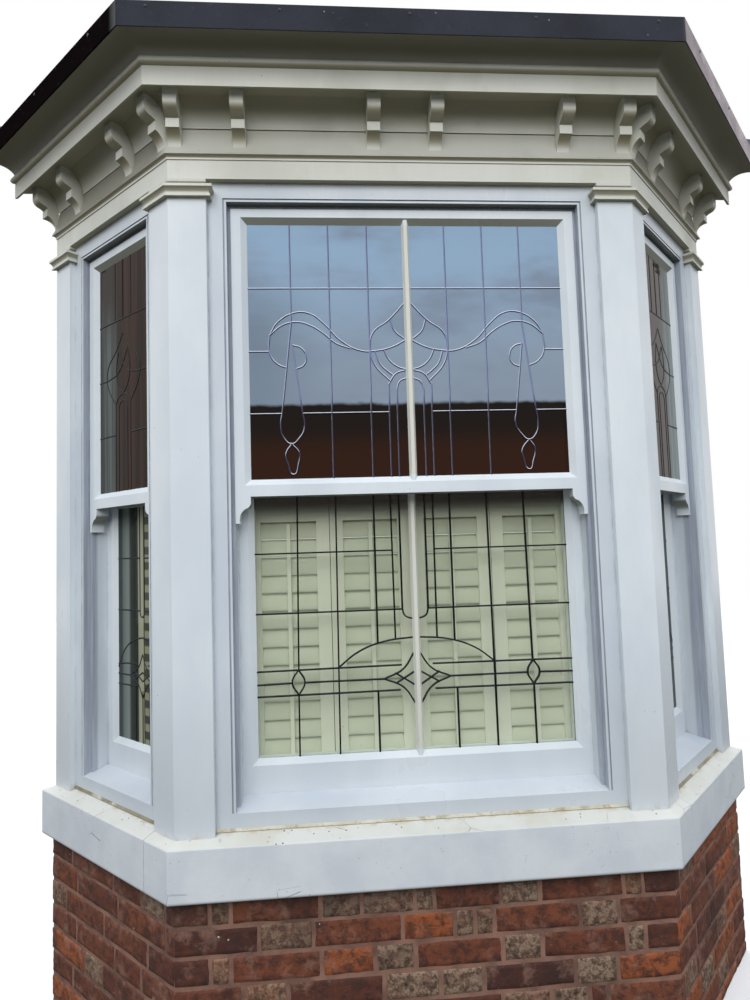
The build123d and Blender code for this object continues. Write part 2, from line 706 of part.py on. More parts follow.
# Crown moulding: a round bead at the foot and a deep cove out to the roof edge.
with BuildSketch() as crown:
    with BuildLine():
        bead_out = CORONA_PROJECTION - BEAD_SETBACK
        bead_foot = (bead_out, CORONA_TOP)
        bead_nose = (bead_out + BEAD_RADIUS, CORONA_TOP + BEAD_RADIUS)
        crown_foot = (bead_out, COVE_BOTTOM)
        crown_head = (CROWN_PROJECTION - CROWN_LIP, COVE_TOP)
        reach = crown_head[0] - crown_foot[0]
        halfway = sin(radians(45))
        bend = (crown_head[0] - reach * halfway, COVE_BOTTOM + CROWN_COVE_HEIGHT * halfway)
        back = soffit_edge
        ThreePointArc(bead_foot, bead_nose, crown_foot)
        ThreePointArc(crown_foot, bend, crown_head)
        Line(crown_head, (CROWN_PROJECTION, COVE_TOP))
        Line((CROWN_PROJECTION, COVE_TOP), (CROWN_PROJECTION, DECK_BOTTOM))
        Line((CROWN_PROJECTION, DECK_BOTTOM), (CROWN_PROJECTION - CROWN_TOP_WIDTH, DECK_BOTTOM))
        Line((CROWN_PROJECTION - CROWN_TOP_WIDTH, DECK_BOTTOM), (back, COVE_BOTTOM))
        Line((back, COVE_BOTTOM), (back, CORONA_TOP))
        Line((back, CORONA_TOP), bead_foot)
    make_face()
parts["crown_moulding"] = run_round_bay(crown.sketch)

# Roof: joists from the head to the house, deck, dished edge trim, covering with a slight fall.
joists = []
for index in range(-2, 3):
    middle = index * JOIST_SPACING
    left, right = middle - JOIST_WIDTH / 2, middle + JOIST_WIDTH / 2
    on_cant = (max(-left, right) - BAY_FRONT_WIDTH / 2) * tan(CANT)
    start = max(0, on_cant) + FRAME_BEHIND_POST - JOIST_OVERHANG
    joists.append(block(left, right, start, BAY_DEPTH, SOFFIT_TOP, DECK_BOTTOM))
parts["roof_joists"] = joists
parts["roof_deck"] = bay_prism(CROWN_PROJECTION, DECK_BOTTOM, DECK_TOP)

trim_inside = TRIM_PROJECTION - TRIM_THICKNESS
trim_section = polygon(
    [
        (TRIM_PROJECTION, TRIM_BOTTOM),
        (TRIM_PROJECTION, TRIM_TOP),
        (TRIM_PROJECTION - TRIM_FLANGE, TRIM_TOP),
        (TRIM_PROJECTION - TRIM_FLANGE, DECK_TOP),
        (trim_inside, DECK_TOP),
        (trim_inside, TRIM_BOTTOM),
    ]
)
parts["roof_edge_trim"] = run_round_bay(trim_section)

covering_edge = TRIM_PROJECTION - TRIM_FLANGE
covering = bay_prism(covering_edge, DECK_TOP, DECK_TOP + BAY_DEPTH)
fall = radians(ROOF_FALL_DEGREES)
eaves = DECK_TOP + ROOF_COVERING_THICKNESS
for side in (-1, 0, 1):
    if side == 0:
        foot = (0, -covering_edge, eaves)
        inward = (0, 1)
    else:
        foot = (side * front_corner(covering_edge), -covering_edge, eaves)
        inward = (-side * sin(CANT), cos(CANT))
    normal = (-inward[0] * sin(fall), -inward[1] * sin(fall), cos(fall))
    covering = split(covering, bisect_by=Plane(origin=foot, z_dir=normal), keep=Keep.BOTTOM)
parts["roof_covering"] = covering

# Flashing standing against the house wall, following the fall of the roof.
reach = wall_corner(TRIM_PROJECTION) - TRIM_THICKNESS
ridge = eaves + (BAY_DEPTH + covering_edge) * tan(fall)
flat = wall_corner(covering_edge) - (BAY_DEPTH + covering_edge) / sin(CANT)
flashing_points = [
    (-reach, TRIM_TOP),
    (-reach, TRIM_TOP + FLASHING_HEIGHT),
    (-flat, ridge + FLASHING_HEIGHT),
    (flat, ridge + FLASHING_HEIGHT),
    (reach, TRIM_TOP + FLASHING_HEIGHT),
    (reach, TRIM_TOP),
]
flashing = extrude(Plane.XZ * polygon(flashing_points), -FLASHING_THICKNESS)
flashing = Pos(0, BAY_DEPTH - FLASHING_THICKNESS, 0) * flashing
parts["wall_flashing"] = flashing - covering - parts["roof_edge_trim"]

ceiling_bottom = SOFFIT_TOP - CEILING_BELOW_JOISTS - CEILING_THICKNESS
parts["ceiling_board"] = bay_prism(-FRAME_BACK, ceiling_bottom, ceiling_bottom + CEILING_THICKNESS)

# Window board on the inner half of the sill.
board_inside = WALL_INSIDE - WINDOW_BOARD_NOSING
board = bay_band(-FRAME_BACK, board_inside, SEAT, SEAT + WINDOW_BOARD_THICKNESS)
parts["window_board"] = board


# Louvred shutters: a surround against the box frame, folding panels, fixed louvres, tilt rods.
def shutter_set(side):
    outer = SHUTTER_HALF[side]
    inner = outer - SHUTTER_SURROUND_WIDTH
    bottom = WINDOW_BOARD_THICKNESS
    back = SHUTTER_BACK
    surround = block(-outer, outer, FRAME_BACK, back, bottom, SHUTTER_TOP)
    near, far = FRAME_BACK - CUT_SPARE, back + CUT_SPARE
    low = bottom + SHUTTER_SURROUND_WIDTH
    surround = surround - block(-inner, inner, near, far, low, SHUTTER_TOP + CUT_SPARE)
    count = PANELS[side]
    pitch = 2 * inner / count
    face = back - SHUTTER_THICKNESS
    louvre_low = low + SHUTTER_BOTTOM_RAIL
    louvre_high = SHUTTER_TOP - SHUTTER_TOP_RAIL
    step = (louvre_high - louvre_low) / LOUVRE_COUNT
    tilt = LOUVRE_TILT_DEGREES
    panels, louvres, rods = [], [], []
    for index in range(count):
        left = -inner + index * pitch + SHUTTER_PANEL_GAP / 2
        right = left + pitch - SHUTTER_PANEL_GAP
        if index == 0:
            left = -inner
        if index == count - 1:
            right = inner
        frame = block(left, right, face, back, low, SHUTTER_TOP)
        hole = block(left + SHUTTER_STILE, right - SHUTTER_STILE, near, far, louvre_low, louvre_high)
        panels.append(frame - hole)
        middle = (left + right) / 2
        half = (right - left) / 2 - SHUTTER_STILE
        for n in range(LOUVRE_COUNT):
            height = louvre_low + (n + 0.5) * step
            blade = Ellipse(LOUVRE_WIDTH / 2, LOUVRE_THICKNESS / 2)
            blade = extrude(Plane.YZ * (Rot(0, 0, tilt) * blade), half, both=True)
            louvres.append(Pos(middle, (face + back) / 2, height) * blade)
        swing = hypot(LOUVRE_WIDTH * cos(radians(tilt)), LOUVRE_THICKNESS * sin(radians(tilt))) / 2
        front = (face + back) / 2 - swing
        rod = block(
            middle - TILT_ROD_SIZE / 2,
            middle + TILT_ROD_SIZE / 2,
            front - TILT_ROD_SIZE,
            front,
            louvre_low + TILT_ROD_CLEARANCE,
            louvre_high - TILT_ROD_CLEARANCE,
        )
        rods.append(rod)
    return surround, panels, louvres, rods


surrounds, all_rods = [], []
for side, name in SIDE_NAMES.items():
    surround, panels, louvres, rods = shutter_set(side)
    surrounds.append(stand(side, surround))
    all_rods += [stand(side, rod) for rod in rods]
    parts["shutter_panels_" + name] = [stand(side, panel) for panel in panels]
    parts["shutter_louvres_" + name] = [stand(side, louvre) for louvre in louvres]
parts["shutter_surrounds"] = surrounds
parts["shutter_tilt_rods"] = all_rods

# Every part moves to the shared origin and goes to its own file.
centred = Pos(0, MIDWAY, 0)
for name, made in parts.items():
    pieces = made if isinstance(made, list) else [made]
    solids = [centred * solid for piece in pieces for solid in piece.solids()]
    whole = solids[0] if len(solids) == 1 else Compound(solids)
    export_step(whole, "parts/" + name + ".step")
print(len(parts), "parts")
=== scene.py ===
import math
import random

import bmesh
import bpy
from mathutils import Matrix, Vector, noise


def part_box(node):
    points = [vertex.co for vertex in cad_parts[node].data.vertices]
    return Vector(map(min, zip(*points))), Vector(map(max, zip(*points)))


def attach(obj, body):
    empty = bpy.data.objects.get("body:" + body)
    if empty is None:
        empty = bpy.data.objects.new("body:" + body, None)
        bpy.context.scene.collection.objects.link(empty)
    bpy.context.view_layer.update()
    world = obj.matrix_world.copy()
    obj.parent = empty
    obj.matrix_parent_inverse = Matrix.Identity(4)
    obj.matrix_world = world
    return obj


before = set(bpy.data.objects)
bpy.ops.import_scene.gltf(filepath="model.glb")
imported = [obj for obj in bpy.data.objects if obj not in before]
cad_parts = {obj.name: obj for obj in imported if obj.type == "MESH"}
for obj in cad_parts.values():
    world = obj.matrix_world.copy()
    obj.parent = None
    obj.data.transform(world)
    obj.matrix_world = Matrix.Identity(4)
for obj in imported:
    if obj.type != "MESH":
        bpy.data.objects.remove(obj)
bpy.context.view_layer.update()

# Canted bay window: finishes, brickwork, leaded lights and small fastenings over the joinery.
# Metres. +X to the right seen from the front, +Y to the back, +Z up.

MM = 0.001

# Half the width between the arrises of the corner posts, and the turn of the canted sides.
HALF_FRONT = 725 * MM
CANT = math.radians(45)
SIDES = ((0, "front"), (-1, "left"), (1, "right"))

# Depths and levels, taken from the frame.
POST_FACE_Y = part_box("corner_post_left")[0].y
BACK_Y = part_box("wall_posts")[1].y
DEPTH = BACK_Y - POST_FACE_Y
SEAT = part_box("sill_stone_front")[1].z
SILL_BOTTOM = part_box("sill_stone_front")[0].z
TRIM_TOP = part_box("roof_edge_trim")[1].z
TRIM_OUT = POST_FACE_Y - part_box("roof_edge_trim")[0].y
WALL_OUT = POST_FACE_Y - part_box("brick_dwarf_wall")[0].y

# Level of the meeting rails above the sill seat, and how far behind the posts the panes stand.
MEETING_LEVEL = 989 * MM
UPPER_GLASS_FACE = 58 * MM
LOWER_GLASS_FACE = 123 * MM
GLASS_THICKNESS = 6 * MM

# Upper edge of the dark foot of the reflection painted on the upper front light, above the sill seat.
DARK_FOOT_TOP = 1255 * MM


def srgb(red, green, blue):
    """A paint colour as a colour card gives it, 0 to 255, turned into linear light."""
    return tuple(((c / 255 + 0.055) / 1.055) ** 2.4 if c > 10 else c / 3295 for c in (red, green, blue))


def face_matrix(side):
    """Places window coordinates on a face: X along it, Y inwards, Z up from the sill seat."""
    if side == 0:
        return Matrix.Translation((0, POST_FACE_Y, SEAT))
    middle = (side * (HALF_FRONT + DEPTH / 2), POST_FACE_Y + DEPTH / 2, SEAT)
    return Matrix.Translation(middle) @ Matrix.Rotation(side * CANT, 4, "Z")


def plan_corner(out):
    """Half width of the front face of the plan line that lies 'out' beyond the post faces."""
    return HALF_FRONT + out * math.tan(CANT / 2)


def add_object(name, data):
    made = bpy.data.objects.new(name, data)
    bpy.context.scene.collection.objects.link(made)
    return made


def to_mesh(name, shape):
    mesh = bpy.data.meshes.new(name)
    shape.to_mesh(mesh)
    shape.free()
    return mesh


def add_piece(name, shape, finish, smooth=False):
    mesh = to_mesh(name, shape)
    mesh.materials.append(finish)
    for face in mesh.polygons:
        face.use_smooth = smooth
    piece = add_object(name, mesh)
    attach(piece, "root")


class Nodes:
    """Adds nodes to one tree. Each method adds what it needs and hands back an output."""

    def __init__(self, tree):
        self.tree = tree

    def node(self, kind, **settings):
        made = self.tree.nodes.new(kind)
        for name, value in settings.items():
            setattr(made, name, value)
        return made

    def feed(self, socket, value):
        if isinstance(value, bpy.types.NodeSocket):
            self.tree.links.new(value, socket)
        elif socket.type == "RGBA":
            socket.default_value = (*value, 1)
        else:
            socket.default_value = value

    def maths(self, operation, first, second=0.5, third=0.5):
        made = self.node("ShaderNodeMath", operation=operation)
        self.feed(made.inputs[0], first)
        self.feed(made.inputs[1], second)
        self.feed(made.inputs[2], third)
        return made.outputs[0]

    def times(self, first, second):
        return self.maths("MULTIPLY", first, second)

    def between(self, value, low, high, start=0.0, end=1.0):
        """Goes smoothly from start to end as the value goes from low to high."""
        made = self.node("ShaderNodeMapRange", interpolation_type="SMOOTHSTEP")
        self.feed(made.inputs["Value"], value)
        if low <= high:
            limits = (low, high, start, end)
        else:
            limits = (high, low, end, start)
        for name, limit in zip(("From Min", "From Max", "To Min", "To Max"), limits):
            made.inputs[name].default_value = limit
        return made.outputs["Result"]

    def mix(self, share, first, second):
        made = self.node("ShaderNodeMix", data_type="RGBA")
        self.feed(made.inputs[0], share)
        self.feed(made.inputs[6], first)
        self.feed(made.inputs[7], second)
        return made.outputs[2]

    def ramp(self, value, *stops):
        made = self.node("ShaderNodeValToRGB")
        self.feed(made.inputs["Fac"], value)
        band = made.color_ramp
        while len(band.elements) < len(stops):
            band.elements.new(0.5)
        for element, (place, colour) in zip(band.elements, stops):
            element.position = place
            element.color = (*colour, 1)
        return made.outputs["Color"]

    def axis(self, vector, letter):
        made = self.node("ShaderNodeSeparateXYZ")
        self.feed(made.inputs[0], vector)
        return made.outputs[letter]


class Finish(Nodes):
    """One finish. Its patterns lie in the frame's coordinates and run on from piece to piece."""

    def __init__(self, name, roughness):
        self.material = bpy.data.materials.new(name)
        self.material.use_nodes = True
        super().__init__(self.material.node_tree)
        self.surface = self.tree.nodes["Principled BSDF"]
        self.place = self.node("ShaderNodeTexCoord").outputs["Object"]
        self.surface.inputs["Roughness"].default_value = roughness

    def colour(self, value):
        self.feed(self.surface.inputs["Base Color"], value)

    def rough(self, value):
        self.feed(self.surface.inputs["Roughness"], value)

    def sheen(self, value):
        """How strongly the surface mirrors its surroundings, 0.5 for ordinary paint."""
        self.feed(self.surface.inputs["Specular IOR Level"], value)

    def bump(self, height, depth, strength, under=None):
        made = self.node("ShaderNodeBump")
        made.inputs["Distance"].default_value = depth
        made.inputs["Strength"].default_value = strength
        self.feed(made.inputs["Height"], height)
        if under is not None:
            self.feed(made.inputs["Normal"], under)
        self.feed(self.surface.inputs["Normal"], made.outputs["Normal"])
        return made.outputs["Normal"]

    def stretched(self, stretch):
        made = self.node("ShaderNodeVectorMath", operation="MULTIPLY")
        self.feed(made.inputs[0], self.place)
        made.inputs[1].default_value = stretch
        return made.outputs[0]

    def noise(self, scale, detail, stretch=(1, 1, 1), roughness=0.55, distortion=0.0):
        made = self.node("ShaderNodeTexNoise")
        self.feed(made.inputs["Vector"], self.stretched(stretch))
        made.inputs["Scale"].default_value = scale
        made.inputs["Detail"].default_value = detail
        made.inputs["Roughness"].default_value = roughness
        made.inputs["Distortion"].default_value = distortion
        return made.outputs["Fac"]

    def cells(self, scale, stretch=(1, 1, 1), feature="F1"):
        made = self.node("ShaderNodeTexVoronoi", feature=feature)
        self.feed(made.inputs["Vector"], self.stretched(stretch))
        made.inputs["Scale"].default_value = scale
        return made.outputs["Distance"]

    def specks(self, scale, size, share):
        """Small dots, kept only in some patches so that they don't look even."""
        dots = self.between(self.cells(scale), size, size * 0.6)
        return self.times(dots, self.between(self.noise(scale * 0.23, 2), share, share + 0.05))

    def hairlines(self, scale, width, share, stretch):
        """Fine cracks along the borders of large cells, broken up by a patchy mask."""
        edge = self.cells(scale, stretch, "DISTANCE_TO_EDGE")
        lines = self.between(edge, width, width * 0.3)
        return self.times(lines, self.between(self.noise(scale * 0.8, 3), share, share + 0.08))

    def hollows(self, reach):
        """1 in the open, falling towards 0 in corners and grooves."""
        made = self.node("ShaderNodeAmbientOcclusion", samples=4)
        made.inputs["Distance"].default_value = reach
        return made.outputs["AO"]

    def attribute(self, name):
        return self.node("ShaderNodeAttribute", attribute_name=name).outputs["Fac"]

    def normal(self):
        return self.node("ShaderNodeNewGeometry").outputs["Normal"]

    def facing_up(self):
        """1 where the surface faces straight up, -1 where it faces straight down."""
        return self.axis(self.normal(), "Z")

    def across(self):
        return self.axis(self.place, "X")

    def aside(self):
        """How far a point lies to the left or right of the middle of the bay."""
        return self.maths("ABSOLUTE", self.across())

    def outward(self):
        """How far a point stands out beyond the faces of the posts, on whichever side it is."""
        front = self.maths("SUBTRACT", POST_FACE_Y, self.axis(self.place, "Y"))
        past_arris = self.maths("SUBTRACT", self.aside(), HALF_FRONT)
        side = self.times(self.maths("ADD", past_arris, front), math.sin(CANT))
        return self.maths("MAXIMUM", front, side)

    def behind(self, near, far, start=0.0, end=1.0):
        """Goes smoothly from start to end over a depth behind the front faces of the posts."""
        depth = self.axis(self.place, "Y")
        return self.between(depth, POST_FACE_Y + near, POST_FACE_Y + far, start, end)

    def level(self, first, last, start=0.0, end=1.0):
        """Goes smoothly from start to end from one level above the sill seat to another."""
        height = self.axis(self.place, "Z")
        return self.between(height, SEAT + first, SEAT + last, start, end)


# Paint on the joinery.
LAVENDER_WHITE = srgb(226, 233, 239)
LAVENDER_SHADE = srgb(210, 218, 227)
FRESH_WHITE = srgb(238, 245, 249)
FRESH_SHADE = srgb(223, 231, 238)
BAR_CREAM = srgb(230, 230, 219)
# Blue grey of the sash tracks: wear, and painted shade of the recess.
TRACK_GREY_AND_SHADE = srgb(160, 168, 184)
CREAM_WHITE = srgb(232, 233, 224)
CREAM_SHADE = srgb(217, 218, 206)

# Dirt and wear, and painted shade. The first three colours are grime and moss that also serve as painted
# shade in grooves, quirks and over the caps; the last five are painted shade low down, under the eaves and
# on undersides.
GRIME_AND_SHADE = srgb(86, 80, 62)
DEEP_GRIME_AND_SHADE = srgb(64, 60, 46)
MOSS_AND_SHADE_GREY = srgb(120, 120, 96)
FLY_SPECK = srgb(30, 28, 26)
RUST_STAIN = srgb(176, 138, 78)
LOW_SHADE_GREY = srgb(150, 154, 160)
EAVES_SHADE = srgb(96, 90, 72)
UNDER_WHITE = srgb(152, 155, 142)
UNDER_FRAME = srgb(112, 114, 108)
UNDER_CREAM = srgb(168, 162, 136)

# The glazing bar in the middle of the front lights, and the levels between which it stands.
GLAZING_BAR_HALF = 13 * MM
GLAZING_BAR_SPANS = ((172 * MM, 960 * MM), (1018 * MM, 1812 * MM))

# Levels above the sill seat where the paint changes: the tops of the caps and of the painted shadow over
# them, the painted shade low down, and the stains at the foot.
CAP_TOP = 1905 * MM
CAP_SHADOW_TOP = 1921 * MM
LOW_SHADE_LEVELS = (550 * MM, 30 * MM)
STAINED = (20 * MM, -30 * MM)

# Depths behind the faces of the posts over which the colour of the sash tracks begins and ends.
TRACK_FRONT = (23.5 * MM, 26 * MM)
TRACK_BACK = (62 * MM, 75 * MM)

# How far dirt and painted shade reach out of grooves, how far behind the posts the sill is stained, and
# the widths over which a finish changes at a corner of the bay.
QUIRK_REACH = 18 * MM
FINE_QUIRK_REACH = 12 * MM
SILL_QUIRK_REACH = 30 * MM
SILL_STAIN_DEPTH = 18 * MM
CORNER_FADE = 40 * MM
MOSS_FADE = 30 * MM


def brushed_paint(name, light, shade, grime_and_shade, roughness=0.32, dirt_and_shade_from=0.62):
    """Exterior gloss paint brushed on timber: faint vertical brush marks, dirt and painted shade in the
    quirks.
    """
    paint = Finish(name, roughness)
    brush = paint.noise(9, 5, (30, 30, 1), 0.6)
    broad = paint.noise(3.1, 4, (1, 1, 0.5))
    colour = paint.mix(paint.between(broad, 0.35, 0.7), light, shade)
    colour = paint.mix(paint.times(paint.between(brush, 0.45, 0.75), 0.25), colour, shade)
    # Dirt and painted shade: darker in patches where corners and grooves hide the light.
    dirt_and_shade = paint.between(paint.hollows(QUIRK_REACH), dirt_and_shade_from, 0.2)
    dirt_and_shade = paint.times(dirt_and_shade, paint.between(paint.noise(14, 5), 0.3, 0.75))
    colour = paint.mix(paint.times(dirt_and_shade, 0.75), colour, grime_and_shade)
    colour = paint.mix(paint.specks(46, 0.07, 0.62), colour, FLY_SPECK)
    paint.rough(paint.between(broad, 0.3, 0.7, roughness - 0.06, roughness + 0.12))
    flat = paint.bump(brush, 0.4 * MM, 0.25)
    paint.bump(paint.noise(46, 3, (1, 1, 0.4)), 0.6 * MM, 0.25, flat)
    return paint, colour


def painted_shade_under_and_low(paint, colour, below):
    """Painted shade: undersides grey green, and the lowest part greyer towards the sill."""
    under = paint.between(paint.facing_up(), -0.12, -0.6)
    colour = paint.mix(under, colour, below)
    # Painted shade, greyer towards the sill.
    low_shade = paint.level(*LOW_SHADE_LEVELS, 0.0, 0.24)
    return paint.mix(low_shade, colour, LOW_SHADE_GREY)


def white_paint():
    """Posts and sashes: a creamier glazing bar, cream over the caps with a painted shadow just above them,
    painted shade underneath and low down, rust stains at the foot.
    """
    paint, colour = brushed_paint("white_gloss_paint", FRESH_WHITE, FRESH_SHADE, GRIME_AND_SHADE)
    bar = paint.between(paint.aside(), GLAZING_BAR_HALF + 0.5 * MM, GLAZING_BAR_HALF - 0.5 * MM)
    for low, high in GLAZING_BAR_SPANS:
        above = paint.level(low, low + 3 * MM)
        below = paint.level(high, high - 3 * MM)
        colour = paint.mix(paint.times(bar, paint.times(above, below)), colour, BAR_CREAM)
    colour = painted_shade_under_and_low(paint, colour, UNDER_WHITE)
    over_cap = paint.level(CAP_TOP - 1 * MM, CAP_TOP + 1 * MM)
    colour = paint.mix(over_cap, colour, CREAM_SHADE)
    # A painted shadow on the neck just over the caps, under the overhang of the architrave.
    gap_shadow = paint.times(over_cap, paint.level(CAP_SHADOW_TOP + 5 * MM, CAP_SHADOW_TOP))
    colour = paint.mix(paint.times(gap_shadow, 0.8), colour, DEEP_GRIME_AND_SHADE)
    stain = paint.times(paint.level(*STAINED), paint.between(paint.noise(26, 4), 0.42, 0.62))
    paint.colour(paint.mix(paint.times(stain, 0.6), colour, RUST_STAIN))
    return paint.material


def box_frame_paint():
    """The frames, with the tracks that the sashes run in rubbed and streaked blue grey, part wear and part
    painted shade of the recess, and painted shade underneath and low down.
    """
    paint, colour = brushed_paint("box_frame_paint", LAVENDER_WHITE, LAVENDER_SHADE, GRIME_AND_SHADE)
    outward = paint.outward()
    begun = paint.between(outward, -TRACK_FRONT[0], -TRACK_FRONT[1])
    unfinished = paint.between(outward, -TRACK_BACK[1], -TRACK_BACK[0])
    streak = paint.between(paint.noise(5, 5, (26, 26, 1), 0.65), 0.25, 0.75, 0.55, 1.0)
    upright = paint.between(paint.maths("ABSOLUTE", paint.facing_up()), 0.35, 0.15)
    track_wear_and_shade = paint.times(paint.times(begun, unfinished), paint.times(streak, upright))
    # Blue grey in the tracks: wear, and painted shade of the recess.
    colour = paint.mix(track_wear_and_shade, colour, TRACK_GREY_AND_SHADE)
    paint.colour(painted_shade_under_and_low(paint, colour, UNDER_FRAME))
    return paint.material


def cream_paint(name, eaves_shade_front=0.0, eaves_shade_cant=0.0, quirk_shade=0.0):
    """Cornice paint, with painted shade: darker under the eaves, more so on the canted sides, on
    undersides, and in the quirks.
    """
    paint, colour = brushed_paint(name, CREAM_WHITE, CREAM_SHADE, DEEP_GRIME_AND_SHADE, 0.42, 0.74)
    if quirk_shade:
        # Painted shade in the quirks and on faces that turn down.
        groove = paint.between(paint.hollows(FINE_QUIRK_REACH), 0.5, 0.3)
        turned = paint.between(paint.facing_up(), -0.12, -0.45)
        dark = paint.maths("MAXIMUM", groove, turned)
        colour = paint.mix(paint.times(dark, quirk_shade), colour, DEEP_GRIME_AND_SHADE)
    if eaves_shade_cant:
        past_arris = (HALF_FRONT, HALF_FRONT + CORNER_FADE)
        # Painted shade under the eaves, stronger on the canted sides.
        dust = paint.between(paint.aside(), *past_arris, eaves_shade_front, eaves_shade_cant)
        colour = paint.mix(dust, colour, EAVES_SHADE)
    green = paint.between(paint.noise(5.5, 6, (1, 1, 0.6)), 0.52, 0.72)
    colour = paint.mix(paint.times(green, 0.14), colour, MOSS_AND_SHADE_GREY)
    # Painted shade on undersides.
    under = paint.between(paint.facing_up(), -0.15, -0.75)
    paint.colour(paint.mix(under, colour, UNDER_CREAM))
    return paint.material


def shutter_paint(name, light, shade):
    paint, colour = brushed_paint(name, light, shade, MOSS_AND_SHADE_GREY, 0.45)
    paint.colour(colour)
    return paint.material


def inside_paint():
    light, shade = srgb(232, 231, 222), srgb(220, 219, 208)
    paint, colour = brushed_paint("window_board_paint", light, shade, GRIME_AND_SHADE, 0.35)
    paint.colour(colour)
    return paint.material


# Heights of the dirty drip edge of the sill and of the painted shade on the brickwork under it.
DRIP_EDGE = 12 * MM
SILL_SHADE_DROP = 70 * MM


def sill_paint():
    """Masonry paint: a cool face, a dirty cream slope with stains, grime and painted shade where the slope
    meets the frames, hair cracks and black specks.
    """
    paint = Finish("sill_masonry_paint", 0.5)
    slope = paint.between(paint.facing_up(), 0.25, 0.75)
    broad = paint.noise(6, 5)
    face = paint.mix(paint.between(broad, 0.35, 0.7), srgb(227, 232, 236), srgb(214, 220, 226))
    top = paint.mix(paint.between(broad, 0.4, 0.7), srgb(214, 215, 209), srgb(204, 202, 190))
    colour = paint.mix(slope, face, top)
    by_frame = paint.between(paint.outward(), 0.0, -SILL_STAIN_DEPTH)
    blotch = paint.between(paint.noise(21, 6, roughness=0.62), 0.44, 0.62)
    stain = paint.times(paint.times(by_frame, slope), blotch)
    colour = paint.mix(paint.times(stain, 0.45), colour, RUST_STAIN)
    # Grime and painted shade in the corner between the slope and the frames.
    deep_grime_and_shade = paint.times(paint.between(paint.hollows(SILL_QUIRK_REACH), 0.7, 0.35), slope)
    colour = paint.mix(paint.times(deep_grime_and_shade, 0.7), colour, GRIME_AND_SHADE)
    cracks = paint.hairlines(9, 0.010, 0.56, (1, 1, 2.2))
    colour = paint.mix(paint.times(cracks, 0.45), colour, GRIME_AND_SHADE)
    fewer_on_face = paint.between(slope, 0.0, 0.5, 0.25, 1.0)
    specks = paint.times(paint.specks(60, 0.17, 0.55), fewer_on_face)
    colour = paint.mix(specks, colour, FLY_SPECK)
    drip_edge = paint.level(SILL_BOTTOM - SEAT + DRIP_EDGE, SILL_BOTTOM - SEAT)
    colour = paint.mix(paint.times(drip_edge, 0.7), colour, GRIME_AND_SHADE)
    paint.colour(colour)
    lumps = paint.bump(paint.noise(24, 5), 3 * MM, 0.3)
    lumps = paint.bump(paint.noise(120, 3), 0.6 * MM, 0.4, lumps)
    paint.bump(paint.maths("SUBTRACT", 1.0, cracks), 1 * MM, 0.6, lumps)
    return paint.material


def painted_caulk():
    """Old filler painted over at the foot of the frames, yellowed and mossy in places."""
    caulk = Finish("painted_caulk", 0.6)
    broad = caulk.noise(14, 5)
    colour = caulk.mix(caulk.between(broad, 0.35, 0.65), srgb(207, 204, 188), srgb(190, 184, 160))
    spots = caulk.noise(33, 5, roughness=0.65)
    yellowed = caulk.between(spots, 0.48, 0.62)
    colour = caulk.mix(caulk.times(yellowed, 0.6), colour, srgb(150, 134, 92))
    on_cant = caulk.between(caulk.aside(), HALF_FRONT, HALF_FRONT + MOSS_FADE)
    mossy = caulk.times(on_cant, caulk.between(broad, 0.32, 0.5))
    caulk.colour(caulk.mix(caulk.times(mossy, 0.62), colour, srgb(84, 78, 50)))
    caulk.bump(spots, 2 * MM, 0.5)
    return caulk.material


MORTAR_PINK = srgb(152, 114, 98)
MORTAR_GREY = srgb(116, 88, 76)

# How far behind the faces of the posts the room side of the dwarf wall begins.
ROOM_SIDE = 215 * MM


def mortar():
    """Lime mortar between the bricks outside, plaster on the room side of the wall."""
    bed = Finish("pink_lime_mortar", 0.92)
    grain = bed.noise(210, 4, roughness=0.7)
    colour = bed.mix(bed.between(bed.noise(13, 5), 0.35, 0.68), MORTAR_PINK, MORTAR_GREY)
    colour = bed.mix(bed.times(bed.between(grain, 0.5, 0.75), 0.5), colour, srgb(158, 128, 112))
    damp = bed.between(bed.noise(4, 4), 0.45, 0.7)
    colour = bed.mix(bed.times(damp, 0.6), colour, srgb(70, 52, 46))
    room = bed.between(bed.outward(), 3 * MM - ROOM_SIDE, -3 * MM - ROOM_SIDE)
    trowelled = bed.between(bed.noise(4, 4), 0.4, 0.7)
    plastered = bed.mix(trowelled, srgb(226, 222, 210), srgb(214, 209, 196))
    bed.colour(bed.mix(room, colour, plastered))
    bed.bump(grain, 1.5 * MM, 0.7)
    return bed.material


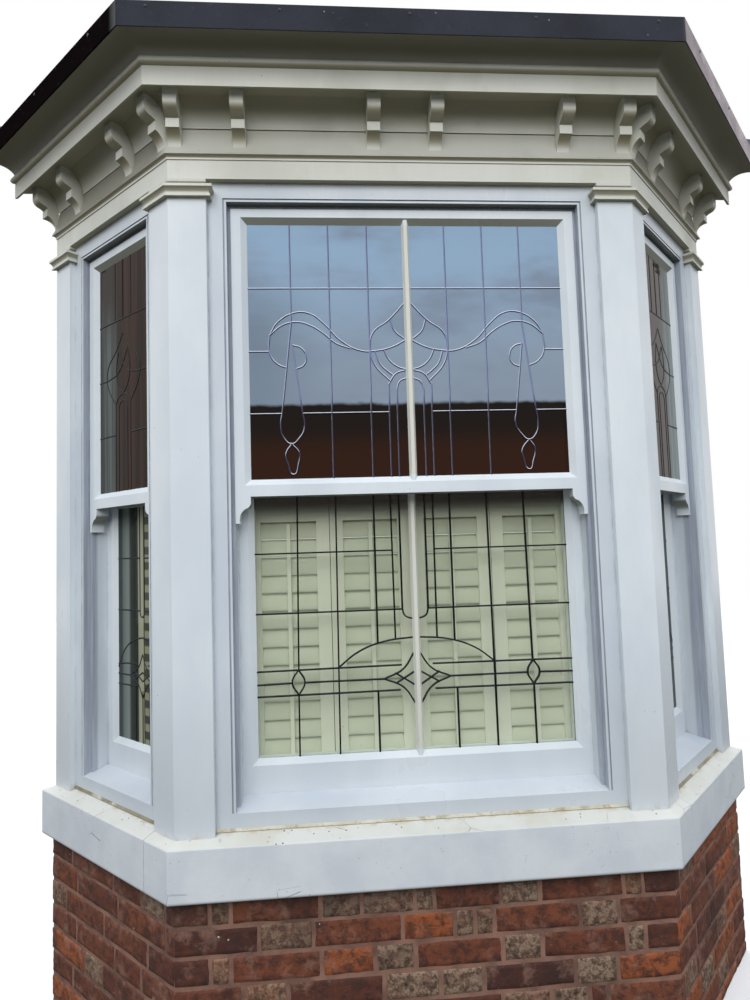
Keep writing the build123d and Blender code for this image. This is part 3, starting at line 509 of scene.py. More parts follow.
def fired_brick():
    """Hand-pressed bricks: red stretchers, burnt grey headers, soot and lime on the faces, painted shade
    under the sill.
    """
    brick = Finish("fired_brick", 0.85)
    red = brick.ramp(
        brick.attribute("tone"),
        (0.0, srgb(72, 44, 38)),
        (0.25, srgb(94, 54, 42)),
        (0.5, srgb(112, 63, 45)),
        (0.8, srgb(126, 72, 50)),
        (1.0, srgb(164, 90, 50)),
    )
    mottle = brick.noise(38, 6, roughness=0.7, distortion=0.6)
    red = brick.mix(brick.times(brick.between(mottle, 0.4, 0.62), 0.8), red, srgb(62, 42, 38))
    warm = brick.noise(9, 4, (0.5, 0.5, 1.6))
    red = brick.mix(brick.times(brick.between(warm, 0.55, 0.75), 0.35), red, srgb(150, 82, 48))
    ash = brick.ramp(
        brick.noise(62, 6, roughness=0.75),
        (0.34, srgb(50, 41, 36)),
        (0.48, srgb(106, 85, 70)),
        (0.58, srgb(160, 140, 118)),
        (0.7, srgb(92, 70, 56)),
    )
    colour = brick.mix(brick.attribute("burnt"), red, ash)
    soot = brick.between(brick.noise(5, 5), 0.5, 0.72)
    colour = brick.mix(brick.times(soot, 0.6), colour, srgb(44, 33, 29))
    smear = brick.between(brick.noise(13, 6, roughness=0.7), 0.5, 0.68)
    colour = brick.mix(brick.times(smear, 0.6), colour, MORTAR_PINK)
    lime = brick.between(brick.noise(85, 5, roughness=0.8), 0.62, 0.74)
    colour = brick.mix(brick.times(lime, 0.4), colour, srgb(190, 172, 154))
    colour = brick.mix(brick.specks(38, 0.12, 0.62), colour, srgb(226, 216, 202))
    # Painted shade on the courses just under the sill.
    sill_shade = brick.level(SILL_BOTTOM - SEAT - SILL_SHADE_DROP, SILL_BOTTOM - SEAT)
    brick.colour(brick.mix(brick.times(sill_shade, 0.45), colour, srgb(52, 42, 38)))
    coarse = brick.bump(brick.noise(34, 5, roughness=0.65), 6 * MM, 0.7)
    brick.bump(brick.noise(190, 4, roughness=0.7), 1.5 * MM, 0.7, coarse)
    return brick.material


# From the middle of the bay to where the canted lengths of the roof trim begin.
TRIM_CORNER = 800 * MM


def slate_gloss():
    """Dark slate-grey laminate edge with dust and scuffs, a painted reflection of the sky on the right,
    painted shade and less sheen on the left.
    """
    trim = Finish("slate_grey_laminate", 0.24)
    x = trim.across()
    trim.sheen(trim.between(x, -TRIM_CORNER - CORNER_FADE, -TRIM_CORNER, 0.0, 0.2))
    broad = trim.between(trim.noise(5, 5), 0.35, 0.7)
    colour = trim.mix(broad, srgb(42, 46, 58), srgb(30, 33, 43))
    # A painted reflection of the sky makes the trim pale on the right.
    painted_sky_sheen = trim.mix(broad, srgb(150, 130, 138), srgb(112, 98, 106))
    right = trim.between(x, TRIM_CORNER, TRIM_CORNER + CORNER_FADE)
    colour = trim.mix(right, colour, painted_sky_sheen)
    # Painted shade makes the trim near black on the left, where it mirrors no sky.
    left = trim.between(x, -TRIM_CORNER, -TRIM_CORNER - CORNER_FADE)
    colour = trim.mix(left, colour, srgb(20, 15, 17))
    dust = trim.between(trim.noise(60, 5, roughness=0.75), 0.6, 0.76)
    colour = trim.mix(trim.times(dust, 0.22), colour, srgb(130, 134, 142))
    colour = trim.mix(trim.specks(48, 0.11, 0.6), colour, srgb(178, 182, 188))
    trim.colour(colour)
    trim.rough(trim.between(trim.noise(11, 4), 0.3, 0.7, 0.2, 0.42))
    trim.bump(trim.noise(16, 4), 2 * MM, 0.3)
    return trim.material


def roof_laminate():
    roof = Finish("roof_laminate", 0.55)
    colour = roof.mix(roof.between(roof.noise(4, 5), 0.35, 0.7), srgb(98, 102, 108), srgb(78, 82, 86))
    moss = roof.between(roof.noise(9, 6, roughness=0.7), 0.58, 0.72)
    roof.colour(roof.mix(roof.times(moss, 0.5), colour, srgb(96, 98, 72)))
    roof.bump(roof.noise(140, 4), 1 * MM, 0.6)
    return roof.material


def rolled_lead():
    lead = Finish("rolled_lead", 0.6)
    lead.surface.inputs["Metallic"].default_value = 0.35
    dulled = lead.between(lead.noise(14, 6), 0.35, 0.7)
    colour = lead.mix(dulled, srgb(122, 126, 134), srgb(84, 88, 96))
    lead.colour(lead.mix(lead.between(lead.noise(90, 4), 0.6, 0.75), colour, srgb(168, 170, 172)))
    lead.bump(lead.noise(45, 4), 1 * MM, 0.5)
    return lead.material


# The way that the edges with the painted highlight face: up, and a little to the left.
BRIGHT_EDGE_WAY = (-0.2, 0, 0.98)


def pewter_came(name, shaded, sky_reflection, foot_reflection, lit):
    """The lead of the leaded lights, with a painted highlight on its upper and left edges, painted shade
    on the others, and between them a painted reflection of the sky above the dark foot and of the foot
    below it.
    """
    came = Finish(name, 0.4)
    facing = came.node("ShaderNodeVectorMath", operation="DOT_PRODUCT")
    came.feed(facing.inputs[0], came.normal())
    facing.inputs[1].default_value = BRIGHT_EDGE_WAY
    tilt = came.maths("MULTIPLY_ADD", came.noise(60, 4), 0.1, facing.outputs["Value"])
    low_down = came.level(DARK_FOOT_TOP + 25 * MM, DARK_FOOT_TOP - 35 * MM)
    middle = came.mix(low_down, sky_reflection, foot_reflection)
    colour = came.mix(came.between(tilt, 0.04, -0.12), middle, shaded)
    came.colour(came.mix(came.between(tilt, 0.12, 0.36), colour, lit))
    came.sheen(0.15)
    came.bump(came.noise(260, 3), 0.4 * MM, 0.5)
    return came.material


def sawn_timber():
    timber = Finish("sawn_softwood", 0.8)
    grain = timber.noise(7, 6, (1, 9, 9), 0.65, 0.8)
    streaks = timber.between(grain, 0.35, 0.7)
    timber.colour(timber.mix(streaks, srgb(196, 164, 118), srgb(150, 116, 76)))
    timber.bump(grain, 1 * MM, 0.6)
    return timber.material


def ceiling_plaster():
    coat = Finish("ceiling_plaster", 0.9)
    broad = coat.between(coat.noise(3, 5), 0.35, 0.7)
    coat.colour(coat.mix(broad, srgb(234, 232, 224), srgb(218, 215, 204)))
    coat.bump(coat.noise(60, 4), 1 * MM, 0.3)
    return coat.material


def screw_metal():
    metal = Finish("screw_cap", 0.35)
    metal.colour(metal.mix(metal.noise(300, 3), srgb(34, 36, 42), srgb(58, 60, 66)))
    metal.bump(metal.noise(500, 2), 0.3 * MM, 0.4)
    return metal.material


def see_through(pane, share, tint):
    """Lets a share of the light straight through the pane, with no bending."""
    clear = pane.node("ShaderNodeBsdfTransparent")
    pane.feed(clear.inputs["Color"], tint)
    both = pane.node("ShaderNodeMixShader")
    pane.feed(both.inputs["Fac"], share)
    pane.feed(both.inputs[1], pane.surface.outputs["BSDF"])
    pane.feed(both.inputs[2], clear.outputs["BSDF"])
    pane.feed(pane.tree.nodes["Material Output"].inputs["Surface"], both.outputs["Shader"])


def lower_pane(pane):
    """1 on the lower light, 0 on the upper one."""
    return pane.level(MEETING_LEVEL, MEETING_LEVEL - 10 * MM)


# Levels above the sill seat over which the reflection painted on the front lights changes. The painted
# bank of cloud also thickens to the left, and the upper edge of the dark foot is ragged.
SKY_FADES = (1750 * MM, 1300 * MM)
CLOUD_BANK_FADES = (1720 * MM, 1500 * MM)
CLOUD_BANK_LEFT = (-220 * MM, -500 * MM)
DARK_FOOT_WARMS = (1180 * MM, 1090 * MM)
DARK_FOOT_RAGGED = 20 * MM
LOWER_REFLECTION_WARMS = (900 * MM, 950 * MM)
LOWER_REFLECTION_CLEARS = (950 * MM, 905 * MM)


def front_glass():
    """Painted reflections: the upper light silvered by the sky over a dark foot, the lower light clear
    over the shutters below a dark band across its top.
    """
    pane = Finish("front_window_glass", 0.04)
    pane.sheen(0.08)
    # Painted reflection of the sky and its clouds.
    sky = pane.mix(pane.level(*SKY_FADES), srgb(163, 192, 220), srgb(152, 167, 184))
    cloud = pane.between(pane.noise(2.2, 4, (1, 1, 2.4)), 0.4, 0.7)
    sky = pane.mix(cloud, sky, srgb(142, 156, 176))
    bank = pane.times(pane.between(pane.across(), *CLOUD_BANK_LEFT), pane.level(*CLOUD_BANK_FADES))
    sky = pane.mix(pane.times(bank, 0.6), sky, srgb(118, 134, 150))
    # Painted reflection of a dark foot.
    foot = pane.mix(pane.level(*DARK_FOOT_WARMS), srgb(24, 14, 9), srgb(50, 22, 6))
    raised = pane.times(pane.noise(16, 4), DARK_FOOT_RAGGED)
    ragged = pane.maths("ADD", pane.axis(pane.place, "Z"), raised)
    foot_edge = SEAT + DARK_FOOT_TOP
    upper = pane.mix(pane.between(ragged, foot_edge + 7 * MM, foot_edge - 7 * MM), sky, foot)
    # Painted reflection across the top of the lower light.
    lower_reflection = pane.mix(pane.level(*LOWER_REFLECTION_WARMS), srgb(70, 74, 62), srgb(76, 46, 34))
    lower = lower_pane(pane)
    pane.colour(pane.mix(lower, upper, lower_reflection))
    clear = pane.level(*LOWER_REFLECTION_CLEARS, 0.3, 0.97)
    see_through(pane, pane.mix(lower, (0.06,) * 3, clear), srgb(250, 251, 246))
    return pane.material


# Depths behind the front faces of the posts at which the canted lights change: the painted leaf edges that
# show through the lower ones, where their louvres end, and the bands of painted reflection and painted
# shade in the upper ones.
LEAF_EDGES = (300 * MM, 470 * MM)
LOUVRES_END = 342 * MM
WARM_UP_TO = (370 * MM, 310 * MM)
PALE_FROM = (340 * MM, 370 * MM)

# Radians a metre, for one louvre end every 51 mm.
LOUVRE_WAVE = 123.0


def shutter_edges(pane):
    """The edges of the folded shutter leaves behind a canted light, painted with their light and shade,
    louvres nearest the post.
    """
    near, far = LEAF_EDGES
    run = far - near
    start = POST_FACE_Y + near
    leaves = pane.ramp(
        pane.maths("MULTIPLY_ADD", pane.axis(pane.place, "Y"), 1 / run, -start / run),
        (0.26, srgb(60, 64, 52)),
        (0.29, srgb(184, 186, 158)),
        (0.40, srgb(178, 180, 152)),
        (0.43, srgb(50, 54, 48)),
        (0.62, srgb(66, 72, 68)),
        (0.68, srgb(142, 152, 146)),
        (0.82, srgb(120, 130, 126)),
        (0.87, srgb(74, 82, 80)),
    )
    wave = pane.maths("SINE", pane.times(pane.axis(pane.place, "Z"), LOUVRE_WAVE))
    # Painted light and shade on the louvre ends.
    louvres = pane.mix(pane.between(wave, -0.3, 0.4), srgb(84, 86, 72), srgb(158, 160, 134))
    by_post = pane.behind(LOUVRES_END + 1 * MM, LOUVRES_END - 1 * MM)
    return pane.mix(by_post, leaves, louvres)


# Levels above the sill seat over which the painted grey reflection in the upper canted lights turns dark.
SIDE_DARKENS = (1500 * MM, 1750 * MM)


def side_glass():
    """Painted reflections of grey folds at the back, painted shade of the room behind, warm brown towards
    the corner post, a pale painted reflection on the right, and painted shutter edges low down.
    """
    pane = Finish("side_window_glass", 0.04)
    pane.sheen(0.08)
    # Painted reflection and painted shade of the room behind, in folds.
    folds = pane.between(pane.noise(6, 3, (9, 9, 0.25), 0.5), 0.35, 0.65)
    grey = pane.mix(folds, srgb(94, 102, 100), srgb(56, 62, 60))
    grey = pane.mix(pane.level(*SIDE_DARKENS), grey, srgb(54, 46, 40))
    warm = pane.mix(folds, srgb(62, 36, 20), srgb(32, 18, 10))
    upper = pane.mix(pane.behind(*WARM_UP_TO), grey, warm)
    right = pane.between(pane.across(), 0.0, 10 * MM)
    # A pale painted reflection on the right canted light.
    pale = pane.times(right, pane.behind(*PALE_FROM, 0.03, 0.38))
    upper = pane.mix(pale, upper, srgb(205, 214, 208))
    lower = lower_pane(pane)
    pane.colour(pane.mix(lower, upper, shutter_edges(pane)))
    see_through(pane, pane.times(lower, 0.15), srgb(220, 226, 210))
    return pane.material


def dress_nodes():
    """Gives every piece of joinery and masonry the finish with the longest fitting name."""
    white = white_paint()
    cream = cream_paint("cream_cornice_paint")
    small_mouldings = cream_paint("cream_moulding_paint", quirk_shade=0.6)
    timber = sawn_timber()
    finishes = {
        "brick_dwarf_wall": mortar(),
        "sill_stone": sill_paint(),
        "corner_post": white,
        "wall_posts": white,
        "upper_sash": white,
        "lower_sash": white,
        "box_frame": box_frame_paint(),
        "bed_moulding": small_mouldings,
        "post_caps": small_mouldings,
        "frieze_board": cream_paint("cream_frieze_paint", 0.32, 0.7),
        "scroll_brackets": cream_paint("cream_bracket_paint", 0.04, 0.16),
        "shutter": shutter_paint("shutter_paint", srgb(246, 248, 240), srgb(240, 243, 232)),
        # The louvres take a darker copy of the shutter paint, as painted shade, so that the lighter rods
        # stand out.
        "shutter_louvres": shutter_paint("shutter_louvre_shaded_paint", srgb(226, 230, 218), srgb(214, 219, 206)),
        "window_glass_front": front_glass(),
        "window_glass_": side_glass(),
        "window_board": inside_paint(),
        "roof_edge_trim": slate_gloss(),
        "roof_covering": roof_laminate(),
        "wall_flashing": rolled_lead(),
        "head_beam": timber,
        "roof_deck": timber,
        "roof_joists": timber,
        "ceiling_board": ceiling_plaster(),
    }
    for name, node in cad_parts.items():
        fitting = [start for start in finishes if name.startswith(start)]
        finish = finishes[max(fitting, key=len)] if fitting else cream
        node.data.materials.clear()
        node.data.materials.append(finish)


# Brickwork. One letter a brick, laid from the left: H and h are burnt and red headers, S and s
# light and dark stretchers, C and c the same cut at a corner, Q and q closers, B and b bats.
# The lengths are in millimetres, and each course is spread to fill its face.
BRICK_LENGTHS = {"S": 244, "C": 184, "B": 142, "H": 108, "Q": 48}
BURNT_BRICKS = "HQB"
FRONT_COURSES = (
    "hQSHBQCHSQh",
    "sBSbQQSHC",
    "hQSbHSHSQh",
    "CHsBHsHC",
    "SHSHsBHqS",
    "cHSHSHSQ",
    "hQSHSHSbh",
)
SIDE_COURSES = ("qHbSb", "qSsC", "bSSH", "CbSC", "qHsHS", "CHSb", "HSHS")

COURSE_HEIGHT = 79 * MM
BED_JOINT = 11 * MM
UPRIGHT_JOINT = 10 * MM
SILL_JOINT = 2 * MM
FOOT_JOINT = 1 * MM
BRICK_PROUD = 2.5 * MM
BRICK_BEDDED = 18 * MM
PAST_CORNER = 14 * MM

# How much a brick may be worn away, and how far out of place and out of true it may be laid.
BRICK_WEAR = 5 * MM
LAID_FORWARD, LAID_BACK = 0.8 * MM, 1.2 * MM
LAID_HIGH = 1 * MM
LAID_ASKEW = math.radians(0.35)

# Worn arrises, and the rough faces between them, with coarse and fine lumps to the metre. Edges
# past LONG_EDGE are cut up first, so that the faces can follow the lumps.
ARRIS_WEAR = 2.2 * MM
LONG_EDGE = 30 * MM
FACE_ROUGHNESS = 2 * MM
COARSE_LUMPS, FINE_LUMPS = 38, 110

# Some bricks are orange all over, and all of them are lighter on the canted sides.
ORANGE_SHARE, ORANGE_TONE = 0.12, 0.95
CANTED_LIFT = 0.3

# Fixes both the random draws and Blender's own noise, which would else follow the clock.
BRICK_SEED = 11


def lay_brick(shape, left, length, levels, place):
    """One worn brick, a little out of true, most of its depth in the wall."""
    low, high = levels
    worn = random.uniform(0, BRICK_WEAR)
    size = (length - worn, BRICK_PROUD + BRICK_BEDDED, high - low - worn * 0.4)
    middle = Vector((left + length / 2, (BRICK_BEDDED - BRICK_PROUD) / 2, (low + high) / 2))
    middle.y += random.uniform(-LAID_FORWARD, LAID_BACK)
    middle.z += random.uniform(-LAID_HIGH, LAID_HIGH)
    askew = Matrix.Rotation(random.uniform(-LAID_ASKEW, LAID_ASKEW), 4, "Y")
    box = place @ Matrix.Translation(middle) @ askew @ Matrix.Diagonal((*size, 1))
    return bmesh.ops.create_cube(shape, size=1, matrix=box)["verts"]


def colour_brick(shape, made, letter, lift):
    """Notes on the corners of a brick how light and how burnt it is, for the finish to read."""
    if letter.isupper():
        tone = random.uniform(0.3, 0.8) ** 1.2
    else:
        tone = random.uniform(0.0, 0.4)
    if random.random() < ORANGE_SHARE:
        tone = ORANGE_TONE
    burnt = 0.0
    if letter in BURNT_BRICKS:
        burnt = random.uniform(0.55, 1.0)
    tone_layer = shape.verts.layers.float["tone"]
    burnt_layer = shape.verts.layers.float["burnt"]
    for vert in made:
        vert[tone_layer] = min(tone + lift, 1.0)
        vert[burnt_layer] = burnt


def trim_brick(shape, made, plane):
    """Cuts a brick off at a plane, given as a point and the normal of the side that goes."""
    edges = list({e for v in made for e in v.link_edges})
    faces = list({f for v in made for f in v.link_faces})
    cut = bmesh.ops.bisect_plane(
        shape,
        geom=made + edges + faces,
        dist=1e-6,
        plane_co=plane[0],
        plane_no=plane[1],
        clear_outer=True,
    )
    rim = [e for e in cut["geom_cut"] if isinstance(e, bmesh.types.BMEdge)]
    if rim:
        bmesh.ops.edgeloop_fill(shape, edges=rim)


def lay_course(shape, letters, span, levels, place, ends, lift):
    """Lays one course of bricks over the span of a face, with even joints, and cuts its ends."""
    start, finish = span
    lengths = [BRICK_LENGTHS[letter.upper()] * MM for letter in letters]
    spread = (finish - start - UPRIGHT_JOINT * (len(letters) - 1)) / sum(lengths)
    left = start
    for index, letter in enumerate(letters):
        length = lengths[index] * spread
        made = lay_brick(shape, left, length, levels, place)
        colour_brick(shape, made, letter, lift)
        if index == 0:
            trim_brick(shape, made, ends[0])
        elif index == len(letters) - 1:
            trim_brick(shape, made, ends[1])
        left += length + UPRIGHT_JOINT


def corner_plane(side):
    """The upright mitre plane at the left or right corner, facing away from the front."""
    corner = Vector((side * plan_corner(WALL_OUT), POST_FACE_Y - WALL_OUT, 0))
    return corner, Vector((side * math.cos(CANT / 2), math.sin(CANT / 2), 0))


def face_ends(side):
    """The planes that a face of bricks stops at, on its left and on its right."""
    if side == 0:
        return corner_plane(-1), corner_plane(1)
    corner, away = corner_plane(side)
    ends = (corner, -away), (Vector((0, BACK_Y, 0)), Vector((0, 1, 0)))
    return ends if side > 0 else ends[::-1]


def brick_face(side, courses):
    """All the courses of one face of the dwarf wall, mitred at the corners of the bay."""
    shape = bmesh.new()
    shape.verts.layers.float.new("tone")
    shape.verts.layers.float.new("burnt")
    half = plan_corner(WALL_OUT)
    run = (DEPTH + WALL_OUT) / math.sin(CANT)
    start, finish = {0: (-half, half), -1: (-run, 0), 1: (0, run)}[side]
    span = (start - PAST_CORNER, finish + PAST_CORNER)
    turn = Matrix.Rotation(side * CANT, 4, "Z")
    place = Matrix.Translation((side * half, POST_FACE_Y - WALL_OUT, 0)) @ turn
    lift = CANTED_LIFT if side else 0.0
    for index in range(math.ceil(SILL_BOTTOM / COURSE_HEIGHT)):
        high = SILL_BOTTOM - SILL_JOINT - index * COURSE_HEIGHT
        low = max(high - COURSE_HEIGHT + BED_JOINT, FOOT_JOINT)
        letters = courses[index % len(courses)]
        if side < 0:
            letters = letters[::-1]
        lay_course(shape, letters, span, (low, high), place, face_ends(side), lift)
    return shape


def weather_bricks(shape):
    """Wears the arrises and roughens the faces, but not past the back and the foot of the bay."""
    bmesh.ops.bevel(
        shape,
        geom=shape.edges[:],
        offset=ARRIS_WEAR,
        segments=1,
        profile=0.5,
        affect="EDGES",
        material=-1,
    )
    long_edges = [e for e in shape.edges if e.calc_length() > LONG_EDGE]
    bmesh.ops.subdivide_edges(shape, edges=long_edges, cuts=5, use_grid_fill=True)
    for vert in shape.verts:
        coarse = noise.noise_vector(vert.co * COARSE_LUMPS)
        fine = noise.noise_vector(vert.co * FINE_LUMPS) * 0.5
        vert.co += (coarse + fine) * FACE_ROUGHNESS
        vert.co.y = min(vert.co.y, BACK_Y)
        vert.co.z = max(vert.co.z, 0)
    bmesh.ops.recalc_face_normals(shape, faces=shape.faces[:])


def build_brickwork():
    finish = fired_brick()
    noise.seed_set(BRICK_SEED)
    for side, name in SIDES:
        random.seed(BRICK_SEED + side)
        shape = brick_face(side, SIDE_COURSES if side else FRONT_COURSES)
        weather_bricks(shape)
        add_piece("bricks_" + name, shape, finish, smooth=True)


# Leaded lights. Points in millimetres from the middle of the light and above the sill seat.
# The left half is drawn, and the right half is its mirror image.
CAME_WIDTH = 5.6
CAME_FLATNESS = 0.5
UPPER_BOTTOM, UPPER_TOP = 1013, 1818
LOWER_BOTTOM, LOWER_TOP = 166, 965
FRONT_EDGE, SIDE_EDGE = 499, 160

FRONT_UPPER_STRAIGHT = (
    ((-FRONT_EDGE, 1612), (0, 1612)),
    ((-FRONT_EDGE, 1412), (-434, 1412)),
    ((-FRONT_EDGE, 1217), (-399, 1217)),
    ((-337, 1217), (-67, 1217)),
    ((-366, UPPER_TOP), (-366, 1505)),
    ((-246, UPPER_TOP), (-246, UPPER_BOTTOM)),
    ((-124, UPPER_TOP), (-124, UPPER_BOTTOM)),
    ((-366, 1503), (-399, 1218)),
    ((-363, 1430), (-337, 1221)),
    ((-67, 1305), (-67, UPPER_BOTTOM)),
    ((-42, 1288), (-42, UPPER_BOTTOM)),
)
FRONT_UPPER_CURVED = (
    (
        (-433, 1463), (-409, 1503), (-353, 1535), (-306, 1531), (-267, 1502),
        (-213, 1445), (-150, 1412), (-102, 1412), (-54, 1423), (-8, 1446),
    ),
    ((-433, 1463), (-393, 1495), (-346, 1505), (-307, 1494), (-268, 1470), (-229, 1437), (-182, 1419)),
    ((-433, 1463), (-434, 1407), (-412, 1374), (-382, 1360)),
    ((-363, 1432), (-336, 1422), (-322, 1397), (-329, 1369), (-355, 1356)),
    ((-399, 1218), (-404, 1183), (-397, 1143), (-372, 1123), (-347, 1142), (-332, 1170), (-337, 1221)),
    ((-372, 1123), (-390, 1092), (-383, 1056), (-369, 1028), (-352, 1063), (-349, 1091), (-372, 1123)),
    ((-5, 1570), (-62, 1509), (-112, 1469), (-122, 1420), (-111, 1371), (-61, 1314)),
    ((-67, 1305), (-44, 1338), (-8, 1350)),
    ((-42, 1288), (-33, 1313), (-8, 1325)),
    ((-107, 1411), (-92, 1370), (-71, 1348), (-53, 1334)),
    ((-79, 1414), (-63, 1382), (-34, 1359), (-5, 1351)),
    ((-56, 1510), (-43, 1475), (-15, 1450)),
)
FRONT_LOWER_STRAIGHT = (
    ((-363, LOWER_TOP), (-370, 430)),
    ((-242, LOWER_TOP), (-248, LOWER_BOTTOM)),
    ((-122, LOWER_TOP), (-122, 497)),
    ((-68, LOWER_TOP), (-66, 512)),
    ((-41, LOWER_TOP), (-41, 602)),
    ((-FRONT_EDGE, 788), (-66, 788)),
    ((-FRONT_EDGE, 602), (-41, 602)),
    ((-371, 351), (-372, LOWER_BOTTOM)),
    ((-125, 351), (-125, LOWER_BOTTOM)),
    ((-FRONT_EDGE, 426), (-49, 429)),
    ((-FRONT_EDGE, 386), (-391, 388)),
    ((-351, 388), (-105, 388)),
    ((-FRONT_EDGE, 350), (-55, 352)),
)
FRONT_LOWER_CURVED = (
    ((-41, 602), (-34, 582), (-6, 570)),
    ((-248, 428), (-185, 474), (-104, 503), (0, 514)),
    ((-371, 428), (-391, 390), (-371, 351)),
    ((-371, 428), (-352, 390), (-371, 351)),
    ((-8, 468), (-45, 416), (-105, 388)),
    ((-105, 388), (-45, 360), (-8, 307)),
    ((-70, 405), (-8, 365)),
    ((-70, 372), (-8, 408)),
)
SIDE_UPPER_STRAIGHT = (
    ((-52, UPPER_TOP), (-52, 1608)),
    ((0, UPPER_TOP), (0, 1608)),
    ((-SIDE_EDGE, 1608), (0, 1608)),
    ((-SIDE_EDGE, 1408), (-96, 1408)),
    ((-SIDE_EDGE, 1210), (-48, 1210)),
    ((-48, 1315), (-48, UPPER_BOTTOM)),
    ((-28, 1300), (-28, UPPER_BOTTOM)),
)
SIDE_UPPER_CURVED = (
    ((0, 1560), (-46, 1502), (-96, 1460), (-109, 1412), (-92, 1366), (-48, 1315)),
    ((30, 1500), (-28, 1426), (-96, 1408)),
    ((-30, 1500), (-44, 1420), (-20, 1365), (0, 1352)),
    ((-48, 1315), (-30, 1338), (0, 1348)),
    ((-28, 1300), (-18, 1318), (0, 1324)),
)
SIDE_LOWER_STRAIGHT = (
    ((-SIDE_EDGE, 787), (-14, 787)),
    ((-SIDE_EDGE, 608), (-14, 608)),
    ((-14, LOWER_TOP), (-14, 608)),
    ((-44, 352), (-44, LOWER_BOTTOM)),
    ((0, 340), (0, LOWER_BOTTOM)),
)
SIDE_LOWER_CURVED = (
    ((-14, 608), (-10, 592), (0, 586)),
    ((-SIDE_EDGE, 408), (-110, 476), (-50, 508), (0, 518)),
    ((-SIDE_EDGE, 418), (-90, 426), (-34, 428)),
    ((-SIDE_EDGE, 385), (-78, 386)),
    ((-SIDE_EDGE, 350), (-90, 352), (-34, 354)),
    ((0, 462), (-26, 418), (-78, 388)),
    ((-78, 388), (-26, 358), (0, 314)),
    ((-50, 402), (0, 372)),
    ((-50, 374), (0, 402)),
)

FRONT_LIGHTS = (
    (FRONT_UPPER_STRAIGHT, FRONT_UPPER_CURVED),
    (FRONT_LOWER_STRAIGHT, FRONT_LOWER_CURVED),
)
SIDE_LIGHTS = (
    (SIDE_UPPER_STRAIGHT, SIDE_UPPER_CURVED),
    (SIDE_LOWER_STRAIGHT, SIDE_LOWER_CURVED),
)


def came_spline(curve, points, mirror, rounded):
    """One strip of lead through its points, straight or as a smooth bend."""
    spline = curve.splines.new("BEZIER" if rounded else "POLY")
    held = spline.bezier_points if rounded else spline.points
    held.add(len(points) - 1)
    for point, (across, up) in zip(held, points):
        place = (across * mirror * MM, 0, up * MM)
        if rounded:
            point.co = place
            point.handle_left_type = point.handle_right_type = "AUTO"
        else:
            point.co = (*place, 1)


def leaded_light(name, side, straight, curved, glass_face, finish):
    """The lead on both faces of one pane, as a single piece."""
    curve = bpy.data.curves.new(name, "CURVE")
    curve.dimensions = "3D"
    curve.resolution_u = 6
    curve.bevel_depth = CAME_WIDTH / 2 * MM
    curve.bevel_resolution = 1
    curve.use_fill_caps = True
    for mirror in (-1, 1):
        for points in straight:
            came_spline(curve, points, mirror, False)
        for points in curved:
            came_spline(curve, points, mirror, True)
    drawn = bpy.data.objects.new(name + "_line", curve)
    swept = bpy.data.meshes.new_from_object(drawn)
    bpy.data.objects.remove(drawn)
    shape = bmesh.new()
    for depth in (glass_face, glass_face + GLASS_THICKNESS):
        flat = Matrix.Translation((0, depth, 0)) @ Matrix.Diagonal((1, CAME_FLATNESS, 1, 1))
        copy = swept.copy()
        copy.transform(face_matrix(side) @ flat)
        shape.from_mesh(copy)
        bpy.data.meshes.remove(copy)
    bmesh.ops.recalc_face_normals(shape, faces=shape.faces[:])
    add_piece(name, shape, finish, smooth=True)


def build_leaded_lights():
    """Lead with a painted reflection of the sky in the upper front light, dark lead in all the others, all
    with painted highlights and shade.
    """
    bright = pewter_came(
        "bright_came_lead",
        shaded=srgb(20, 23, 36),
        sky_reflection=srgb(138, 147, 186),
        foot_reflection=srgb(66, 60, 80),
        lit=srgb(232, 238, 252),
    )
    dark = pewter_came(
        "dark_came_lead",
        shaded=srgb(4, 4, 5),
        sky_reflection=srgb(20, 20, 22),
        foot_reflection=srgb(14, 14, 15),
        lit=srgb(58, 60, 63),
    )
    for side, name in SIDES:
        upper, lower = SIDE_LIGHTS if side else FRONT_LIGHTS
        upper_lead = dark if side else bright
        leaded_light("cames_upper_" + name, side, *upper, UPPER_GLASS_FACE, upper_lead)
        leaded_light("cames_lower_" + name, side, *lower, LOWER_GLASS_FACE, dark)


SCREW_PITCH = 366 * MM
SCREW_FROM_TOP = 16 * MM
SCREW_RADIUS = 5 * MM
SCREW_FLATNESS = 0.45


def build_trim_screws():
    """Capped screws along the upper edge of the roof trim."""
    shape = bmesh.new()
    half = plan_corner(TRIM_OUT)
    flat = Matrix.Diagonal((1, SCREW_FLATNESS, 1, 1))
    for side in (-1, 0, 1):
        run = (DEPTH + TRIM_OUT) / math.sin(CANT) if side else 2 * half
        start = Vector((side * half, POST_FACE_Y - TRIM_OUT, TRIM_TOP - SCREW_FROM_TOP))
        if side:
            away = Vector((side * math.cos(CANT), math.sin(CANT), 0))
            middle = start + away * run / 2
        else:
            away = Vector((1, 0, 0))
            middle = start
        turn = Matrix.Rotation(side * CANT, 4, "Z")
        count = int(run / SCREW_PITCH)
        for index in range(count + 1):
            place = middle + away * (index - count / 2) * SCREW_PITCH
            bmesh.ops.create_uvsphere(
                shape,
                u_segments=12,
                v_segments=8,
                radius=SCREW_RADIUS,
                matrix=Matrix.Translation(place) @ turn @ flat,
            )
    bmesh.ops.recalc_face_normals(shape, faces=shape.faces[:])
    add_piece("trim_screws", shape, screw_metal(), smooth=True)


# The room side of the folded shutter leaves, and the strips that close the gaps between them.
SHUTTER_BACK = 204 * MM
SHUTTER_SPAN = (60 * MM, 980 * MM)
HINGE_SPACING = 263.25 * MM
HINGE_WIDTH = 26 * MM
HINGE_THICKNESS = 1.6 * MM
HINGE_CLEARANCE = 0.4 * MM


